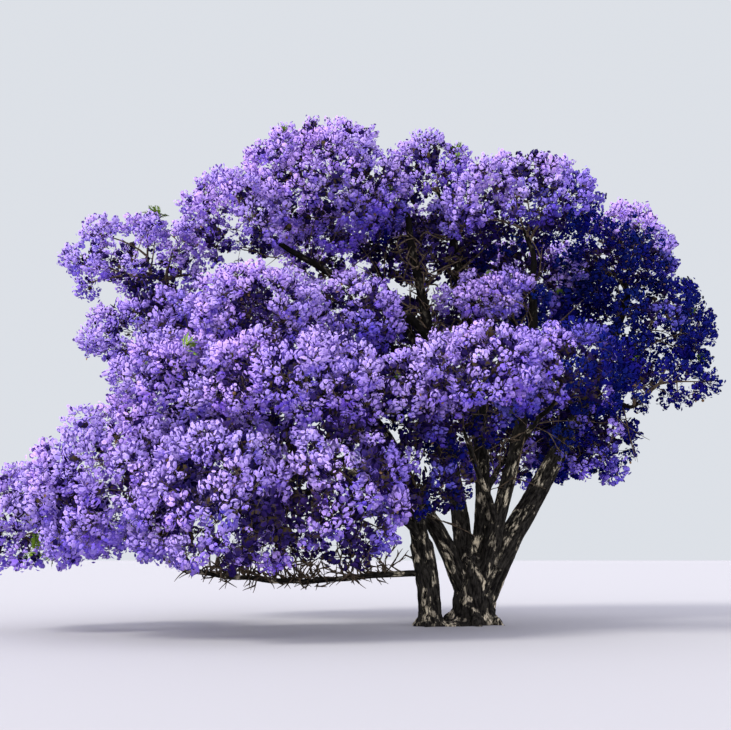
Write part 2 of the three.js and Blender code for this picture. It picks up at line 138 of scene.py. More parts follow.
def mass(centre, radii, limb, at=None, sag=0.0, thick=None, fullness=1.0, shade=0.0, lit_heart=False):
    """A mass of blossom: its centre, its three radii, and the limb that its bough leaves.

    at is the share of that limb's length, sag lowers the middle of the bough, and thick is its radius at the
    foot. A mass with no thick grows straight from the limb, one with no at from its tip. fullness is the share
    of its finer sprays that are there at all: an airy mass lets the sky through. shade deepens the painted shade
    of its blossom beyond what tone_of gives, and lit_heart lets its heart and the panicles deep in its sprays be
    painted as lit rather than in the darkest painted shade.
    """
    return Row(centre=np.array(centre), radii=np.array(radii), mean=np.mean(radii), limb=limb, at=at, sag=sag,
               thick=thick, fullness=fullness, shade=shade, lit_heart=lit_heart)


MASSES = {
    "top_left_dome": mass((-3.4, -0.5, 11.4), (2.55, 2.35, 1.95), "middle_stem"),
    "top_left_shoulder": mass((-5.55, -0.8, 10.4), (2.0, 1.95, 1.5), "middle_stem", 0.72, 0.1, 0.125),
    "top_middle": mass((-0.5, 0.8, 12.3), (1.4, 1.6, 1.4), "upright_stem", fullness=0.75),
    "top_right_dome": mass((1.75, -0.6, 10.9), (2.35, 2.2, 1.4), "inner_right_stem"),
    "right_shoulder": mass((5.1, 1.8, 10.1), (1.7, 2.0, 1.85), "right_stem"),
    "right_side": mass((5.8, 1.3, 7.85), (1.8, 2.1, 1.85), "right_stem", 0.72, -0.15, 0.13, 0.55),
    "right_tail": mass((5.6, 0.3, 6.15), (1.6, 1.4, 0.9), "right_stem", 0.6, -0.25, 0.105, 0.3),
    "left_upper": mass((-8.6, 0.4, 9.6), (2.25, 2.0, 1.5), "leaning_stem", 0.74, 0.2, 0.115, 0.4, 0.7),
    "left_middle": mass((-8.1, 0.0, 7.5), (2.05, 1.9, 1.45), "leaning_stem", fullness=0.45, shade=0.7),
    "centre_left": mass((-5.0, -2.3, 7.5), (1.95, 1.85, 1.3), "left_stem", fullness=0.85),
    "centre": mass((-2.9, -0.6, 7.8), (1.8, 1.8, 1.3), "middle_stem", 0.62),
    "skirt_upper_left": mass((-6.65, -2.5, 5.55), (2.0, 1.95, 1.6), "left_stem", 0.86, -0.3, 0.11),
    "skirt_upper_middle": mass((-4.0, -4.0, 5.35), (2.4, 2.0, 1.5), "left_stem", 0.68, -0.2, 0.105, 0.8),
    "skirt_upper_right": mass((-1.75, -2.8, 5.2), (1.95, 1.8, 1.35), "middle_stem", 0.38, -0.25, 0.105, 0.7),
    "skirt_far_left": mass((-10.1, -1.9, 2.5), (1.95, 2.0, 1.55), "left_bole", 0.6, 1.3, 0.075),
    "skirt_left": mass((-7.75, -4.0, 3.1), (2.0, 1.95, 2.15), "left_stem", 0.32, -0.5, 0.12),
    "skirt_middle": mass((-5.4, -5.0, 2.7), (2.05, 1.8, 1.9), "left_stem", 0.18, -0.45, 0.115),
    "skirt_right": mass((-3.15, -4.45, 2.9), (2.0, 1.75, 1.9), "left_bole", 0.95, -0.25, 0.105),
    "skirt_inner": mass((-1.1, -2.3, 3.55), (1.5, 1.45, 1.4), "left_stem", 0.1, -0.1, 0.09, 0.8, 1.5),
    "middle_right": mass((0.25, -3.8, 5.7), (1.9, 1.8, 1.25), "upright_stem", 0.3, -0.35, 0.115, 0.8),
    "middle_far_right": mass((2.5, -2.5, 5.95), (1.75, 1.75, 1.4), "inner_right_stem", 0.42, -0.15, 0.105, 0.8),
    "over_stems": mass((-0.1, -2.6, 4.9), (1.7, 1.4, 0.9), "inner_right_stem", 0.2, -0.1, 0.085, shade=1.0),
    "right_under": mass((3.7, 2.2, 4.9), (1.9, 1.7, 1.6), "right_stem", 0.56, fullness=0.8, shade=-1.6),
    "centre_right": mass((1.1, 0.3, 8.5), (1.7, 1.7, 1.0), "inner_right_stem", 0.8, 0.0, None, 0.9, -2.4, True),
    "upper_middle": mass((-0.2, 2.0, 10.5), (1.9, 1.7, 1.6), "upright_stem", 0.8),
    "back_top": mass((-2.4, 3.2, 11.1), (2.9, 2.2, 1.5), "middle_stem", 0.6, 0.15, 0.12, 0.8),
    "back_right_top": mass((2.7, 3.7, 9.4), (2.7, 2.3, 2.1), "upright_stem", 0.55, 0.15, 0.12),
    "back_left": mass((-6.5, 3.1, 7.6), (2.8, 2.4, 2.2), "leaning_stem", 0.58, 0.1, 0.115),
    "back_middle": mass((-1.5, 4.2, 7.6), (2.7, 2.2, 2.3), "middle_stem", 0.3, -0.1, 0.125),
    "back_right": mass((2.3, 4.5, 5.5), (2.7, 2.25, 2.25), "upright_stem", 0.2, -0.15, 0.115),
    "back_left_low": mass((-6.6, 2.6, 4.2), (2.75, 2.3, 2.15), "leaning_stem", 0.3, -0.25, 0.125),
}

# Blossom and leaves
LEAF_SPOTS = ((-6.37, -3.8, 6.27), (-8.0, -0.17, 10.75), (-9.65, -3.17, 1.8))  # where leaf tufts show
LEAFLET_PAIRS = 8
MOST_TRIANGLES = 196000  # in one piece
PETALS = 5
SOFTNESS = 0.8  # how far a panicle is lit as part of its spray, against as a head of its own
NEAR_SIDE = 1.9  # panicles that stand beyond this, along Y, have fewer and larger flowers

# Where the blossom's colours lie: the tones are painted sunlight and painted shade, dealt out by spray
# Palest to darkest, each partly the blossom's own hue and partly painted light: the first two are painted sunlight,
# the rest deeper and deeper painted shade, the last inside the sprays
TONES = ("pink_lavender", "lavender", "lilac", "violet", "blue_violet", "night_violet", "deep_violet")
LILAC, VIOLET, BLUE, NAVY_SHADE, DEEP_SHADE = range(2, 7)
NAVY_FROM = 2.7  # X beyond which blossom that never sees the sun is painted navy, as shade
SUNLIT_SPECKS = (2.1, 10)  # how far beyond it, and up to what height, here and there one is painted as catching the light
BEHIND_STEM = ("centre_right", 1.9)  # a mass whose blossom is painted in shade beyond this X, behind a stem
SHADED_SKIRT = (-5.7, 0.4, 4.8)  # from X, to X, and height under which the skirt is broken by painted shade
SHOULDER = (3.9, 11.4, 0.8)  # the right shoulder's X, and the height and fall of its painted sunlit edge, with painted shade below it
IN_SHADE = 3.4  # how much deeper the painted shade makes blossom that stands in the shade
# The crown's heart and the way towards the light: sprays that face the heart, or face away from the light, are painted
# in shade
CROWN_HEART = np.array([-1.2, 0.0, 7.4])
SUNWARD = np.array([-0.6, -0.5, 0.62])

# The camera
PHOTO_WIDTH = 731  # pixels
FOCAL_LENGTH = 950  # pixels
CAMERA_PLACE = (-2.3245, -24.696, 1.65)
CAMERA_TILT = 11.48  # degrees, upwards

norm = np.linalg.norm


def a_number(name, description, default, kind=bpy.props.FloatProperty, **more):
    return kind(name=name, description=description, default=default, **more)


def a_length(name, description, default):
    return a_number(name, description, default, unit="LENGTH")


def a_colour(name, description, *default):
    return a_number(name, description, default, bpy.props.FloatVectorProperty, size=3, subtype="COLOR", min=0, max=1)


class JacarandaBlossom(bpy.types.PropertyGroup):
    """Sizes and colours of the blossom"""
    flowers: a_number("Flowers", "Open trumpets on one panicle", 10, bpy.props.IntProperty, min=3, max=20)
    panicle_radius: a_length("Panicle radius", "From a panicle's middle to the mouths of its flowers", 0.11)
    flower_radius: a_length("Flower radius", "Half the width of a flower's mouth", 0.051)
    flower_depth: a_length("Flower depth", "From a flower's throat back to the tips of its lobes", 0.024)
    density: a_number("Panicles per square metre", "Set over the skin of each spray", 16.0)
    # These colours are partly the blossom's own hue and partly painted light: the sunlit ones are painted sunlight,
    # the darker ones painted shade, darkest on the right and inside the sprays
    pink_lavender: a_colour("Pink lavender", "Sunlit blossom, palest", 0.56, 0.39, 0.86)
    lavender: a_colour("Lavender", "Sunlit blossom", 0.49, 0.37, 0.80)
    lilac: a_colour("Lilac", "Blossom on the front of the crown", 0.44, 0.32, 0.80)
    violet: a_colour("Violet", "Blossom towards the right of the crown", 0.33, 0.245, 0.78)
    blue_violet: a_colour("Blue violet", "Blossom far on the right", 0.13, 0.105, 0.46)
    night_violet: a_colour("Night violet", "Blossom on the right, away from the light", 0.009, 0.013, 0.150)
    deep_violet: a_colour("Deep violet", "Blossom inside the sprays, which never sees the sun", 0.029, 0.018, 0.10)
    faded: a_colour("Faded", "Dry blossom and old leaf stalks deep inside", 0.055, 0.040, 0.016)


class JacarandaWood(bpy.types.PropertyGroup):
    """Sizes and colours of the wood"""
    trunk_grain: a_length("Trunk grain", "Size of the faces that carry the trunk's relief", 0.024)
    furrow_depth: a_length("Furrow depth", "Depth of the bark's furrows", 0.02)
    # the furrow colour is also what the painted shade high up under the crown takes the bark towards
    bark_dark: a_colour("Furrow colour", "Bark down in its furrows", 0.005, 0.0045, 0.004)
    bark_mid: a_colour("Bark colour", "Weathered bark", 0.045, 0.041, 0.033)
    # painted sunlight: the pale patches stand for sun falling through the crown onto the bark in dapples
    bark_pale: a_colour("Patch colour", "Pale cream patches on the bark", 0.78, 0.69, 0.48)
    twig_colour: a_colour("Twig colour", "Twigs inside the crown", 0.07, 0.052, 0.034)


class JacarandaLeaves(bpy.types.PropertyGroup):
    """Numbers, sizes and colours of the leaves and the seed pods"""
    tufts: a_number("Leaf tufts", "Small tufts of young leaves over the crown", 46, bpy.props.IntProperty, min=0)
    leaf_length: a_length("Leaf length", "Of the largest young leaves", 0.34)
    leaf_colour: a_colour("Leaf colour", "Young leaves", 0.27, 0.42, 0.03)
    pods: a_number("Seed pods", "Flat dry pods inside the crown", 900, bpy.props.IntProperty, min=1)
    pod_radius: a_length("Pod radius", "Half the width of a pod", 0.042)
    pod_colour: a_colour("Pod colour", "Dry pods", 0.30, 0.17, 0.075)


class JacarandaStage(bpy.types.PropertyGroup):
    """The light, the floor and the camera"""
    sun_strength: a_number("Key light", "Strength of the key light", 2.9)
    sun_softness: a_number("Key softness", "Angle that the key light fills", radians(18), subtype="ANGLE")
    low_strength: a_number("Low light", "Strength of the soft light from the front, under the crown", 0.6)
    fill_strength: a_number("Fill light", "Strength of the light from all round", 1.42)
    backdrop: a_colour("Backdrop", "Colour behind the tree", 0.72, 0.75, 0.80)
    floor_colour: a_colour("Floor", "Colour of the floor", 0.44, 0.44, 0.43)


def unit(v):
    """The vector or vectors at length one"""
    v = np.asarray(v, float)
    return v / norm(v, axis=-1, keepdims=True)


def random_stream(seed):
    """A seeded stream of numbers from 0 to 1: the frame's own, so that the same sprays come out"""
    low = 0xFFFFFFFF
    state = seed & low

    def draw():
        nonlocal state
        state = (state + 0x6D2B79F5) & low
        t = ((state ^ (state >> 15)) * (state | 1)) & low
        t ^= (t + (((t ^ (t >> 7)) * (t | 61)) & low)) & low
        return ((t ^ (t >> 14)) & low) / 4294967296

    return draw


class Curve:
    """A smooth curve, read by the share of its own length from 0 at its foot to 1 at its tip"""

    def __init__(self, place):
        self.place = place
        self.steps = np.linspace(0, 1, 201)
        self.run = np.concatenate([[0.0], np.cumsum(norm(np.diff(place(self.steps), axis=0), axis=1))])
        self.length = self.run[-1]

    def step(self, share):
        return np.interp(np.asarray(share, float) * self.length, self.run, self.steps)

    def at(self, share):
        return self.place(self.step(share))

    def lean(self, share):
        t = self.step(share)
        return unit(self.place(np.minimum(t + 1e-4, 1)) - self.place(np.maximum(t - 1e-4, 0)))


def through_points(points):
    """The centripetal Catmull-Rom curve through some points"""
    p = np.asarray(points, float)
    p = np.vstack([2 * p[0] - p[1], p, 2 * p[-1] - p[-2]])
    spans = len(p) - 3

    def place(t):
        t = np.asarray(t, float)
        span = np.minimum((t * spans).astype(int), spans - 1)
        w = (t * spans - span)[..., None]
        a, b, c, d = (p[span + k] for k in range(4))
        ab, bc, cd = (np.sqrt(norm(v - u, axis=-1, keepdims=True)) for u, v in ((a, b), (b, c), (c, d)))
        start = ((b - a) / ab - (c - a) / (ab + bc) + (c - b) / bc) * bc
        end = ((c - b) / bc - (d - b) / (bc + cd) + (d - c) / cd) * bc
        return b + start * w + (-3 * b + 3 * c - 2 * start - end) * w**2 + (2 * b - 2 * c + start + end) * w**3

    return Curve(place)


def bezier_points(a, b, c, d, t):
    """Points of a Bezier curve from a to d, at each of the values t, from 0 to 1"""
    t = np.asarray(t, float)[..., None]
    return a * (1 - t) ** 3 + 3 * b * t * (1 - t) ** 2 + 3 * c * t**2 * (1 - t) + d * t**3


def bezier(*corners):
    return Curve(functools.partial(bezier_points, *corners))


class Limb:
    """A curve with a radius that tapers along it, and samples that stand for it in distance tests"""

    def __init__(self, curve, base, end):
        self.at, self.lean, self.length = curve.at, curve.lean, curve.length
        self.base, self.end = base, end
        share = np.linspace(0, 1, max(4, ceil(self.length / SAMPLE_STEP)) + 1)
        self.points, self.radii = self.at(share), self.radius_at(share)

    def radius_at(self, share):
        return self.end + (self.base - self.end) * (1 - np.asarray(share, float)) ** 0.85

    def rings(self, start, end, spacing):
        """Points and radii along the limb, and the share of its length at each of them"""
        share = np.linspace(start, end, max(3, int((end - start) * self.length / spacing) + 1))
        return self.at(share), self.radius_at(share), share

    def share_at_height(self, height):
        share = np.linspace(0, 1, 400)
        return float(share[np.abs(self.at(share)[:, 2] - height).argmin()])


def limb_through(path, base, end):
    return Limb(through_points(path), base, end)


def share_planes(masses):
    """Gives each mass the planes that it shares with the others, each with its normal towards the mass"""
    for own in masses.values():
        others = [other for other in masses.values() if other is not own]
        away = np.array([other.centre - own.centre for other in others])
        span = norm(away, axis=1)
        weight = np.array([other.mean ** 2 for other in others])
        reach = (span**2 + own.mean ** 2 - weight) / (2 * span)
        own.normals = -away / span[:, None]
        own.on_planes = own.centre - own.normals * reach[:, None]


def keeps_to_cell(own, point, radius, over=0.0):
    """Whether a ball keeps to the mass's own space, or stands over its neighbours' planes by less than over"""
    if norm((point - own.centre) / (own.radii - radius)) > 1 + 1e-6:
        return False
    apart = ((point - own.on_planes) * own.normals).sum(axis=1)
    return bool((apart > radius + CELL_MARGIN - over).all())


def entry_point(own, way_from, clear):
    """The last point on the way from the mass's centre to a far point that is inside its space"""
    entry = own.centre
    for i in range(1, 201):
        point = own.centre + (way_from - own.centre) * i / 200
        if norm(point - way_from) < clear or not keeps_to_cell(own, point, clear * 0.6):
            break
        entry = point
    return entry


def bough_curve(own, parent):
    """A bough leaves its limb along that limb's lean, and ends pointing at the heart of its mass"""
    foot = parent.at(own.at)
    tip = entry_point(own, foot, own.thick + 0.06)
    span = norm(tip - foot)
    start = unit(unit(tip - foot) * 0.65 + parent.lean(own.at) * 0.35)
    finish = unit(own.centre - tip)
    drop = np.array([0, 0, -own.sag])
    return bezier(foot, foot + start * span * 0.36 + drop * 1.1, tip - finish * span * 0.3 + drop * 1.1, tip)


def samples_of(limbs):
    """The samples of some limbs as two arrays, their points and their radii"""
    return np.concatenate([limb.points for limb in limbs]), np.concatenate([limb.radii for limb in limbs])


def clear_of_limbs(samples, points, radius):
    """Whether each of some balls stays clear of every limb"""
    apart = norm(np.atleast_2d(points)[:, None] - samples[0], axis=2)
    return bool((apart > samples[1] + radius + LIMB_MARGIN).all())


def twig_is_clear(samples, a, b, radius):
    count = max(2, ceil(norm(b - a) / 0.12))
    return clear_of_limbs(samples, a + (b - a) * np.linspace(0, 1, count + 1)[:, None], radius)


def room_for(own, direction, radius, places, samples, spacing, least, over):
    """Where a spray can be set in this direction, as far out as there is room"""
    reach = 1.0
    while reach > least:
        point = own.centre + direction * (own.radii - radius) * reach
        apart = all(norm(p.point - point) > spacing * (p.radius + radius) for p in places)
        if apart and keeps_to_cell(own, point, radius, over) and clear_of_limbs(samples, point, radius):
            return point
        reach -= PULL_BACK
    return None


def golden_sphere(count, turn):
    """Directions spread evenly over a sphere"""
    k = np.arange(count)
    z = 1 - 2 * (k + 0.5) / count
    ring = np.sqrt(1 - z * z)
    angle = turn + k * GOLDEN_ANGLE
    return np.stack([ring * np.cos(angle), ring * np.sin(angle), z], axis=1)


def spray_places(own, samples, random, there=None):
    """The places of a mass's main sprays, as the frame has them, or of finer ones between those that are there"""
    fine = there is not None
    tries = FINE_TRIED if fine else SPRAYS_TRIED_BEHIND if own.centre[1] > FAR_SIDE else SPRAYS_TRIED
    places = []
    for direction in golden_sphere(tries, random() * 2 * pi):
        if fine and random() > own.fullness:
            continue
        jitter = np.array([random() - 0.5, random() - 0.5, random() - 0.5])
        direction = unit(direction + jitter * 2 * DIRECTION_JITTER)
        if fine:
            radii = [FINE_RADIUS * (0.8 + 0.4 * random())]
        else:
            whole = SPRAY_SHARE * own.mean * (1 + SPRAY_SPREAD * (2 * random() - 1))
            radii = [whole, whole * SMALL_SPRAY]
        if direction[2] < OPEN_UNDERSIDE:
            continue
        for radius in radii:
            point = room_for(own, direction, radius, (there or []) + places, samples,
                             *(FINE_LIMITS if fine else SPRAY_LIMITS))
            if point is not None:
                places.append(Row(point=point, radius=radius, direction=direction, fine=fine))
                break
    return places


def bent_twig(start, lean, tip, random):
    """A twig's line: it leaves along its parent's lean and bows a little on its way"""
    span = norm(tip - start)
    aim = (tip - start) / span
    side = np.array([random() - 0.5, random() - 0.5, random() - 0.2])
    first = start + unit(aim + 0.55 * lean) * span * 0.35
    second = start + aim * span * 0.7 + side * span * 0.14
    return bezier_points(start, first, second, tip, np.linspace(0, 1, 7))


def twig_tree(along, heart, places, samples, random):
    """The mass's twigs. Each spray, from the heart outwards, is joined to the free knot of the growing
    twig tree that gives it the shortest way, with part of the way back to the foot counted in."""
    knots = [
        Row(point=along.at(share), back=share * along.length, base=TWIG_BASE, drawn=along.at(share),
            lean=along.lean(share)) for share in (0.4 + 0.55 * i / (STEM_KNOTS - 1) for i in range(STEM_KNOTS))]
    twigs = []
    for place in sorted(places, key=lambda p: norm(p.point - heart)):
        ranked = sorted(knots, key=lambda k: norm(k.point - place.point) + PATH_PRICE * k.back)[:4]
        knot = next((k for k in ranked if twig_is_clear(samples, k.point, place.point, k.base)), None)
        if knot is None:
            continue
        knots = [k for k in knots if k is not knot]
        way = place.point - knot.point
        span = norm(way)
        line = bent_twig(knot.drawn, knot.lean, knot.point + way * (1 + TWIG_SUNK * place.radius / span), random)
        forked = len(line) // 2 - 1
        knots.append(Row(
            point=knot.point + way * FORK_AT, back=knot.back + span * FORK_AT, base=knot.base * FORK_THINNER,
            drawn=line[forked], lean=unit(line[forked + 1] - line[forked])))
        twigs.append(Row(line=line, base=knot.base * 0.85, place=place))
    return twigs


def fine_twigs(along, heart, twigs, places, samples, random):
    """A twig for each finer spray, from the nearest point of the twigs that are there already"""
    grown = list(twigs)
    line = along.at(np.linspace(0.5, 0.98, 6))
    nodes = [(line[k], unit(line[k] - line[k - 1] if k else line[1] - line[0]), 0.03) for k in range(6)]
    for twig in twigs:
        nodes += [(twig.line[k], unit(twig.line[k] - twig.line[k - 1]), twig.base * 0.6) for k in (2, 3, 4, 5)]
    for place in sorted(places, key=lambda p: norm(p.point - heart)):
        apart = [norm(point - place.point) for point, _, _ in nodes]
        for k in np.argsort(apart, kind="stable")[:6]:
            point, lean, base = nodes[k]
            if twig_is_clear(samples, point, place.point, 0.01):
                tip = place.point + (place.point - point) * 0.3 * place.radius / max(apart[k], 0.1)
                line = bent_twig(point, lean, tip, random)[[0, 1, 3, 5, 6]]
                grown.append(Row(line=line, base=min(base, 0.024), place=place))
                nodes.append((line[2], unit(line[2] - line[1]), 0.014))
                break
    return grown


@functools.lru_cache(maxsize=None)
def grow_skeleton():
    """Every limb, and for each mass its stem, its sprays and the twigs that carry them"""
    boles, stems = ({name: limb_through(*row) for name, row in rows.items()} for rows in (BOLES, STEMS))
    limbs = {**boles, **stems}
    share_planes(MASSES)
    boughs = {name: Limb(bough_curve(own, limbs[own.limb]), own.thick, own.thick * 0.6)
              for name, own in MASSES.items() if own.thick}
    masses = []
    for i, (name, own) in enumerate(MASSES.items()):
        limb = boughs.get(name) or limbs[own.limb]
        beside = name not in boughs and own.at is not None
        share = own.at if beside else 1.0
        foot = limb.at(share)
        direction = unit(own.centre - foot) if beside else limb.lean(1.0)
        samples = samples_of([
            other for other in [*limbs.values(), *boughs.values()] if other is not limb or not beside])
        heart = own.centre + (foot - own.centre) * STEM_HEART
        stem = through_points([foot, foot + direction * norm(foot - heart) * 0.4, heart])
        places = spray_places(own, samples, random_stream(FIRST_SEED + i))
        random = random_stream(FINE_SEED + i)
        twigs = twig_tree(stem, heart, places, samples, random)
        finer = spray_places(own, samples, random, [twig.place for twig in twigs])
        masses.append(Row(
            own=own, stem=stem, start_radius=float(limb.radius_at(share)) * 0.55 if beside else limb.end,
            twigs=fine_twigs(stem, heart, twigs, finer, samples, random)))
    return Row(boles=boles, stems=stems, boughs=boughs, masses=masses)


@functools.lru_cache(maxsize=None)
def set_panicles(density, panicle_radius):
    """The panicles of every spray, and the branchlets and stalks that carry them"""
    sprays = []
    for own, twig in ((grown.own, twig) for grown in grow_skeleton().masses for twig in grown.twigs):
        place = twig.place
        dice = np.random.default_rng([len(sprays), 7])
        skin = place.radius - panicle_radius
        count = max(6, round(density * 4 * pi * skin**2))
        out = unit(golden_sphere(count, dice.random() * 7) + dice.normal(0, 0.13, (count, 3)))
        out = out[out @ place.direction > -0.25]
        # a fifth of the panicles sit deep in the spray; their colour is painted shade, or lilac where light is let in
        inner = dice.random(len(out)) < 0.2
        depth = np.where(inner, 0.42, 1 - 0.2 * dice.random(len(out)))
        points = place.point + out * (skin * depth)[:, None]
        facing = unit(out + np.array([0, 0, 0.35]) + dice.normal(0, 0.22, out.shape))
        # lit is painted light and shade: paler on panicles that face the way to the light, darker low on a mass and
        # deep inside it
        open_way = unit(0.55 * place.direction + np.array([-0.25, -0.1, 0.8]))
        stands = (place.point - own.centre) / own.radii
        painted_shade = 0.3 * max(-stands[2], 0) + 0.5 * max(0.75 - norm(stands), 0)
        lit = np.clip(0.5 + 0.5 * (out @ open_way) - painted_shade + dice.normal(0, 0.12, len(out)), 0, 1)
        size = (0.72 + 0.46 * dice.random((len(out), 1))) * (
            (0.76, 0.76, 0.95) + (0.26, 0.26, 0.55) * dice.random((len(out), 3)))
        # a few branchlets leave the twig's end, and each panicle hangs on the nearest of them
        limbs = unit(golden_sphere(max(3, len(out) // 8), dice.random() * 7) + 0.5 * place.direction)
        root = twig.line[-2]
        ends = place.point + limbs * skin * 0.72
        middles = root + (ends - root) * 0.5 + dice.normal(0, 0.05, ends.shape) * skin
        nearest = norm(points[:, None] - ends, axis=2).argmin(axis=1)
        sprays.append(Row(
            place=place, own=own, points=points, facing=facing, size=size, inner=inner, lit=lit,
            branchlets=[np.array([root, middles[k], ends[k]]) for k in np.unique(nearest)],
            stalks=np.where(inner[:, None], middles[nearest], ends[nearest])))
    return sprays


class Nodes:
    """Adds nodes to a tree. add() sets a node's options, and joins or sets its inputs by name or number."""

    def __init__(self, tree):
        self.tree = tree
        tree.nodes.clear()

    def add(self, kind, inputs=None, **options):
        node = self.tree.nodes.new(kind)
        for name, value in options.items():
            setattr(node, name, value)
        for name, value in (inputs or {}).items():
            socket = node.inputs[name] if isinstance(name, int) else next(
                s for s in node.inputs if s.enabled and name in (s.name, s.identifier))
            for source in value if isinstance(value, list) else [value]:
                if isinstance(source, bpy.types.Node):
                    source = next(s for s in source.outputs if s.enabled)
                if isinstance(source, bpy.types.NodeSocket):
                    self.tree.links.new(source, socket)
                else:
                    socket.default_value = source
        return node

    def math(self, operation, a, b=0.0, kind="ShaderNodeMath"):
        return self.add(kind, {0: a, 1: b}, operation=operation)

    def plus(self, a, b):
        return self.math("ADD", a, b)

    def times(self, a, b):
        return self.math("MULTIPLY", a, b)

    def share(self, value, low, high, top=1.0):
        """How far a value has come from low, for 0, to high, for top"""
        return self.add("ShaderNodeMapRange", {
            "Value": value, "From Min": low, "From Max": high, "To Min": 0.0, "To Max": top})

    def blend(self, share, a, b):
        return self.add("ShaderNodeMix", {"Factor": share, "A_Color": a, "B_Color": b}, data_type="RGBA")

    def noise(self, place, scale, detail, roughness=0.5, distortion=0.0):
        return self.add("ShaderNodeTexNoise", {
            "Vector": place, "Scale": scale, "Detail": detail, "Roughness": roughness, "Distortion": distortion})

    def ramp(self, value, *stops):
        node = self.add("ShaderNodeValToRGB", {"Fac": value})
        for element, (position, colour) in zip(node.color_ramp.elements, stops):
            element.position, element.color = position, (*colour, 1)
        return node

    def random(self, low, high, seed):
        kind = {tuple: "FLOAT_VECTOR", float: "FLOAT", int: "INT"}[type(low)]
        return self.add("FunctionNodeRandomValue", {"Min": low, "Max": high, "Seed": seed}, data_type=kind)

    def shaken(self, way, most, seed):
        """A way with a random vector added"""
        return self.math("ADD", way, self.random((-most,) * 3, (most,) * 3, seed), "ShaderNodeVectorMath")

    def read(self, name, kind="FLOAT_VECTOR"):
        return self.add("GeometryNodeInputNamedAttribute", {"Name": name}, data_type=kind)

    def store(self, geometry, name, value, domain="POINT"):
        return self.add("GeometryNodeStoreNamedAttribute", {
            "Geometry": geometry, "Name": name, "Value": value}, data_type="FLOAT", domain=domain)

    def cone(self, sides, radius, depth):
        """An open cone: its point, and its sides down to the rim"""
        return self.add("GeometryNodeMeshCone", {
            "Vertices": sides, "Side Segments": 1, "Radius Top": 0.0, "Radius Bottom": radius, "Depth": depth},
            fill_type="NONE")

    def aligned(self, way):
        return self.add("FunctionNodeAlignRotationToVector", {"Vector": way}, axis="Z")

    def turned(self, way, turn):
        """The rotation that turns Z towards a way, after a turn round it"""
        return self.add("FunctionNodeRotateRotation", {"Rotation": self.aligned(way), "Rotate By": self.add(
            "FunctionNodeAxisAngleToRotation", {"Axis": (0, 0, 1), "Angle": turn})}, rotation_space="LOCAL")

    def stand(self, points, instance, rotation, size, **more):
        return self.add("GeometryNodeInstanceOnPoints", {
            "Points": points, "Instance": instance, "Rotation": rotation, "Scale": size, **more})


def new_tree(name, **inputs):
    """A geometry tree with named inputs, each with its default, and with a material: its nodes and its inputs"""
    tree = bpy.data.node_groups.new(name, "GeometryNodeTree")
    for way in ("INPUT", "OUTPUT"):
        tree.interface.new_socket(name="Geometry", in_out=way, socket_type="NodeSocketGeometry")
    for label, default in inputs.items():
        kind = "NodeSocketInt" if isinstance(default, int) else "NodeSocketFloat"
        socket = tree.interface.new_socket(name=label.replace("_", " "), in_out="INPUT", socket_type=kind)
        socket.default_value = default
    tree.interface.new_socket(name="Material", in_out="INPUT", socket_type="NodeSocketMaterial")
    nodes = Nodes(tree)
    return nodes, nodes.add("NodeGroupInput").outputs


def finish_tree(nodes, geometry, material):
    """The end of every geometry tree: instances made real, then the material"""
    real = nodes.add("GeometryNodeRealizeInstances", {"Geometry": geometry})
    done = nodes.add("GeometryNodeSetMaterial", {"Geometry": real, "Material": material})
    nodes.add("NodeGroupOutput", {"Geometry": done})
    return nodes.tree


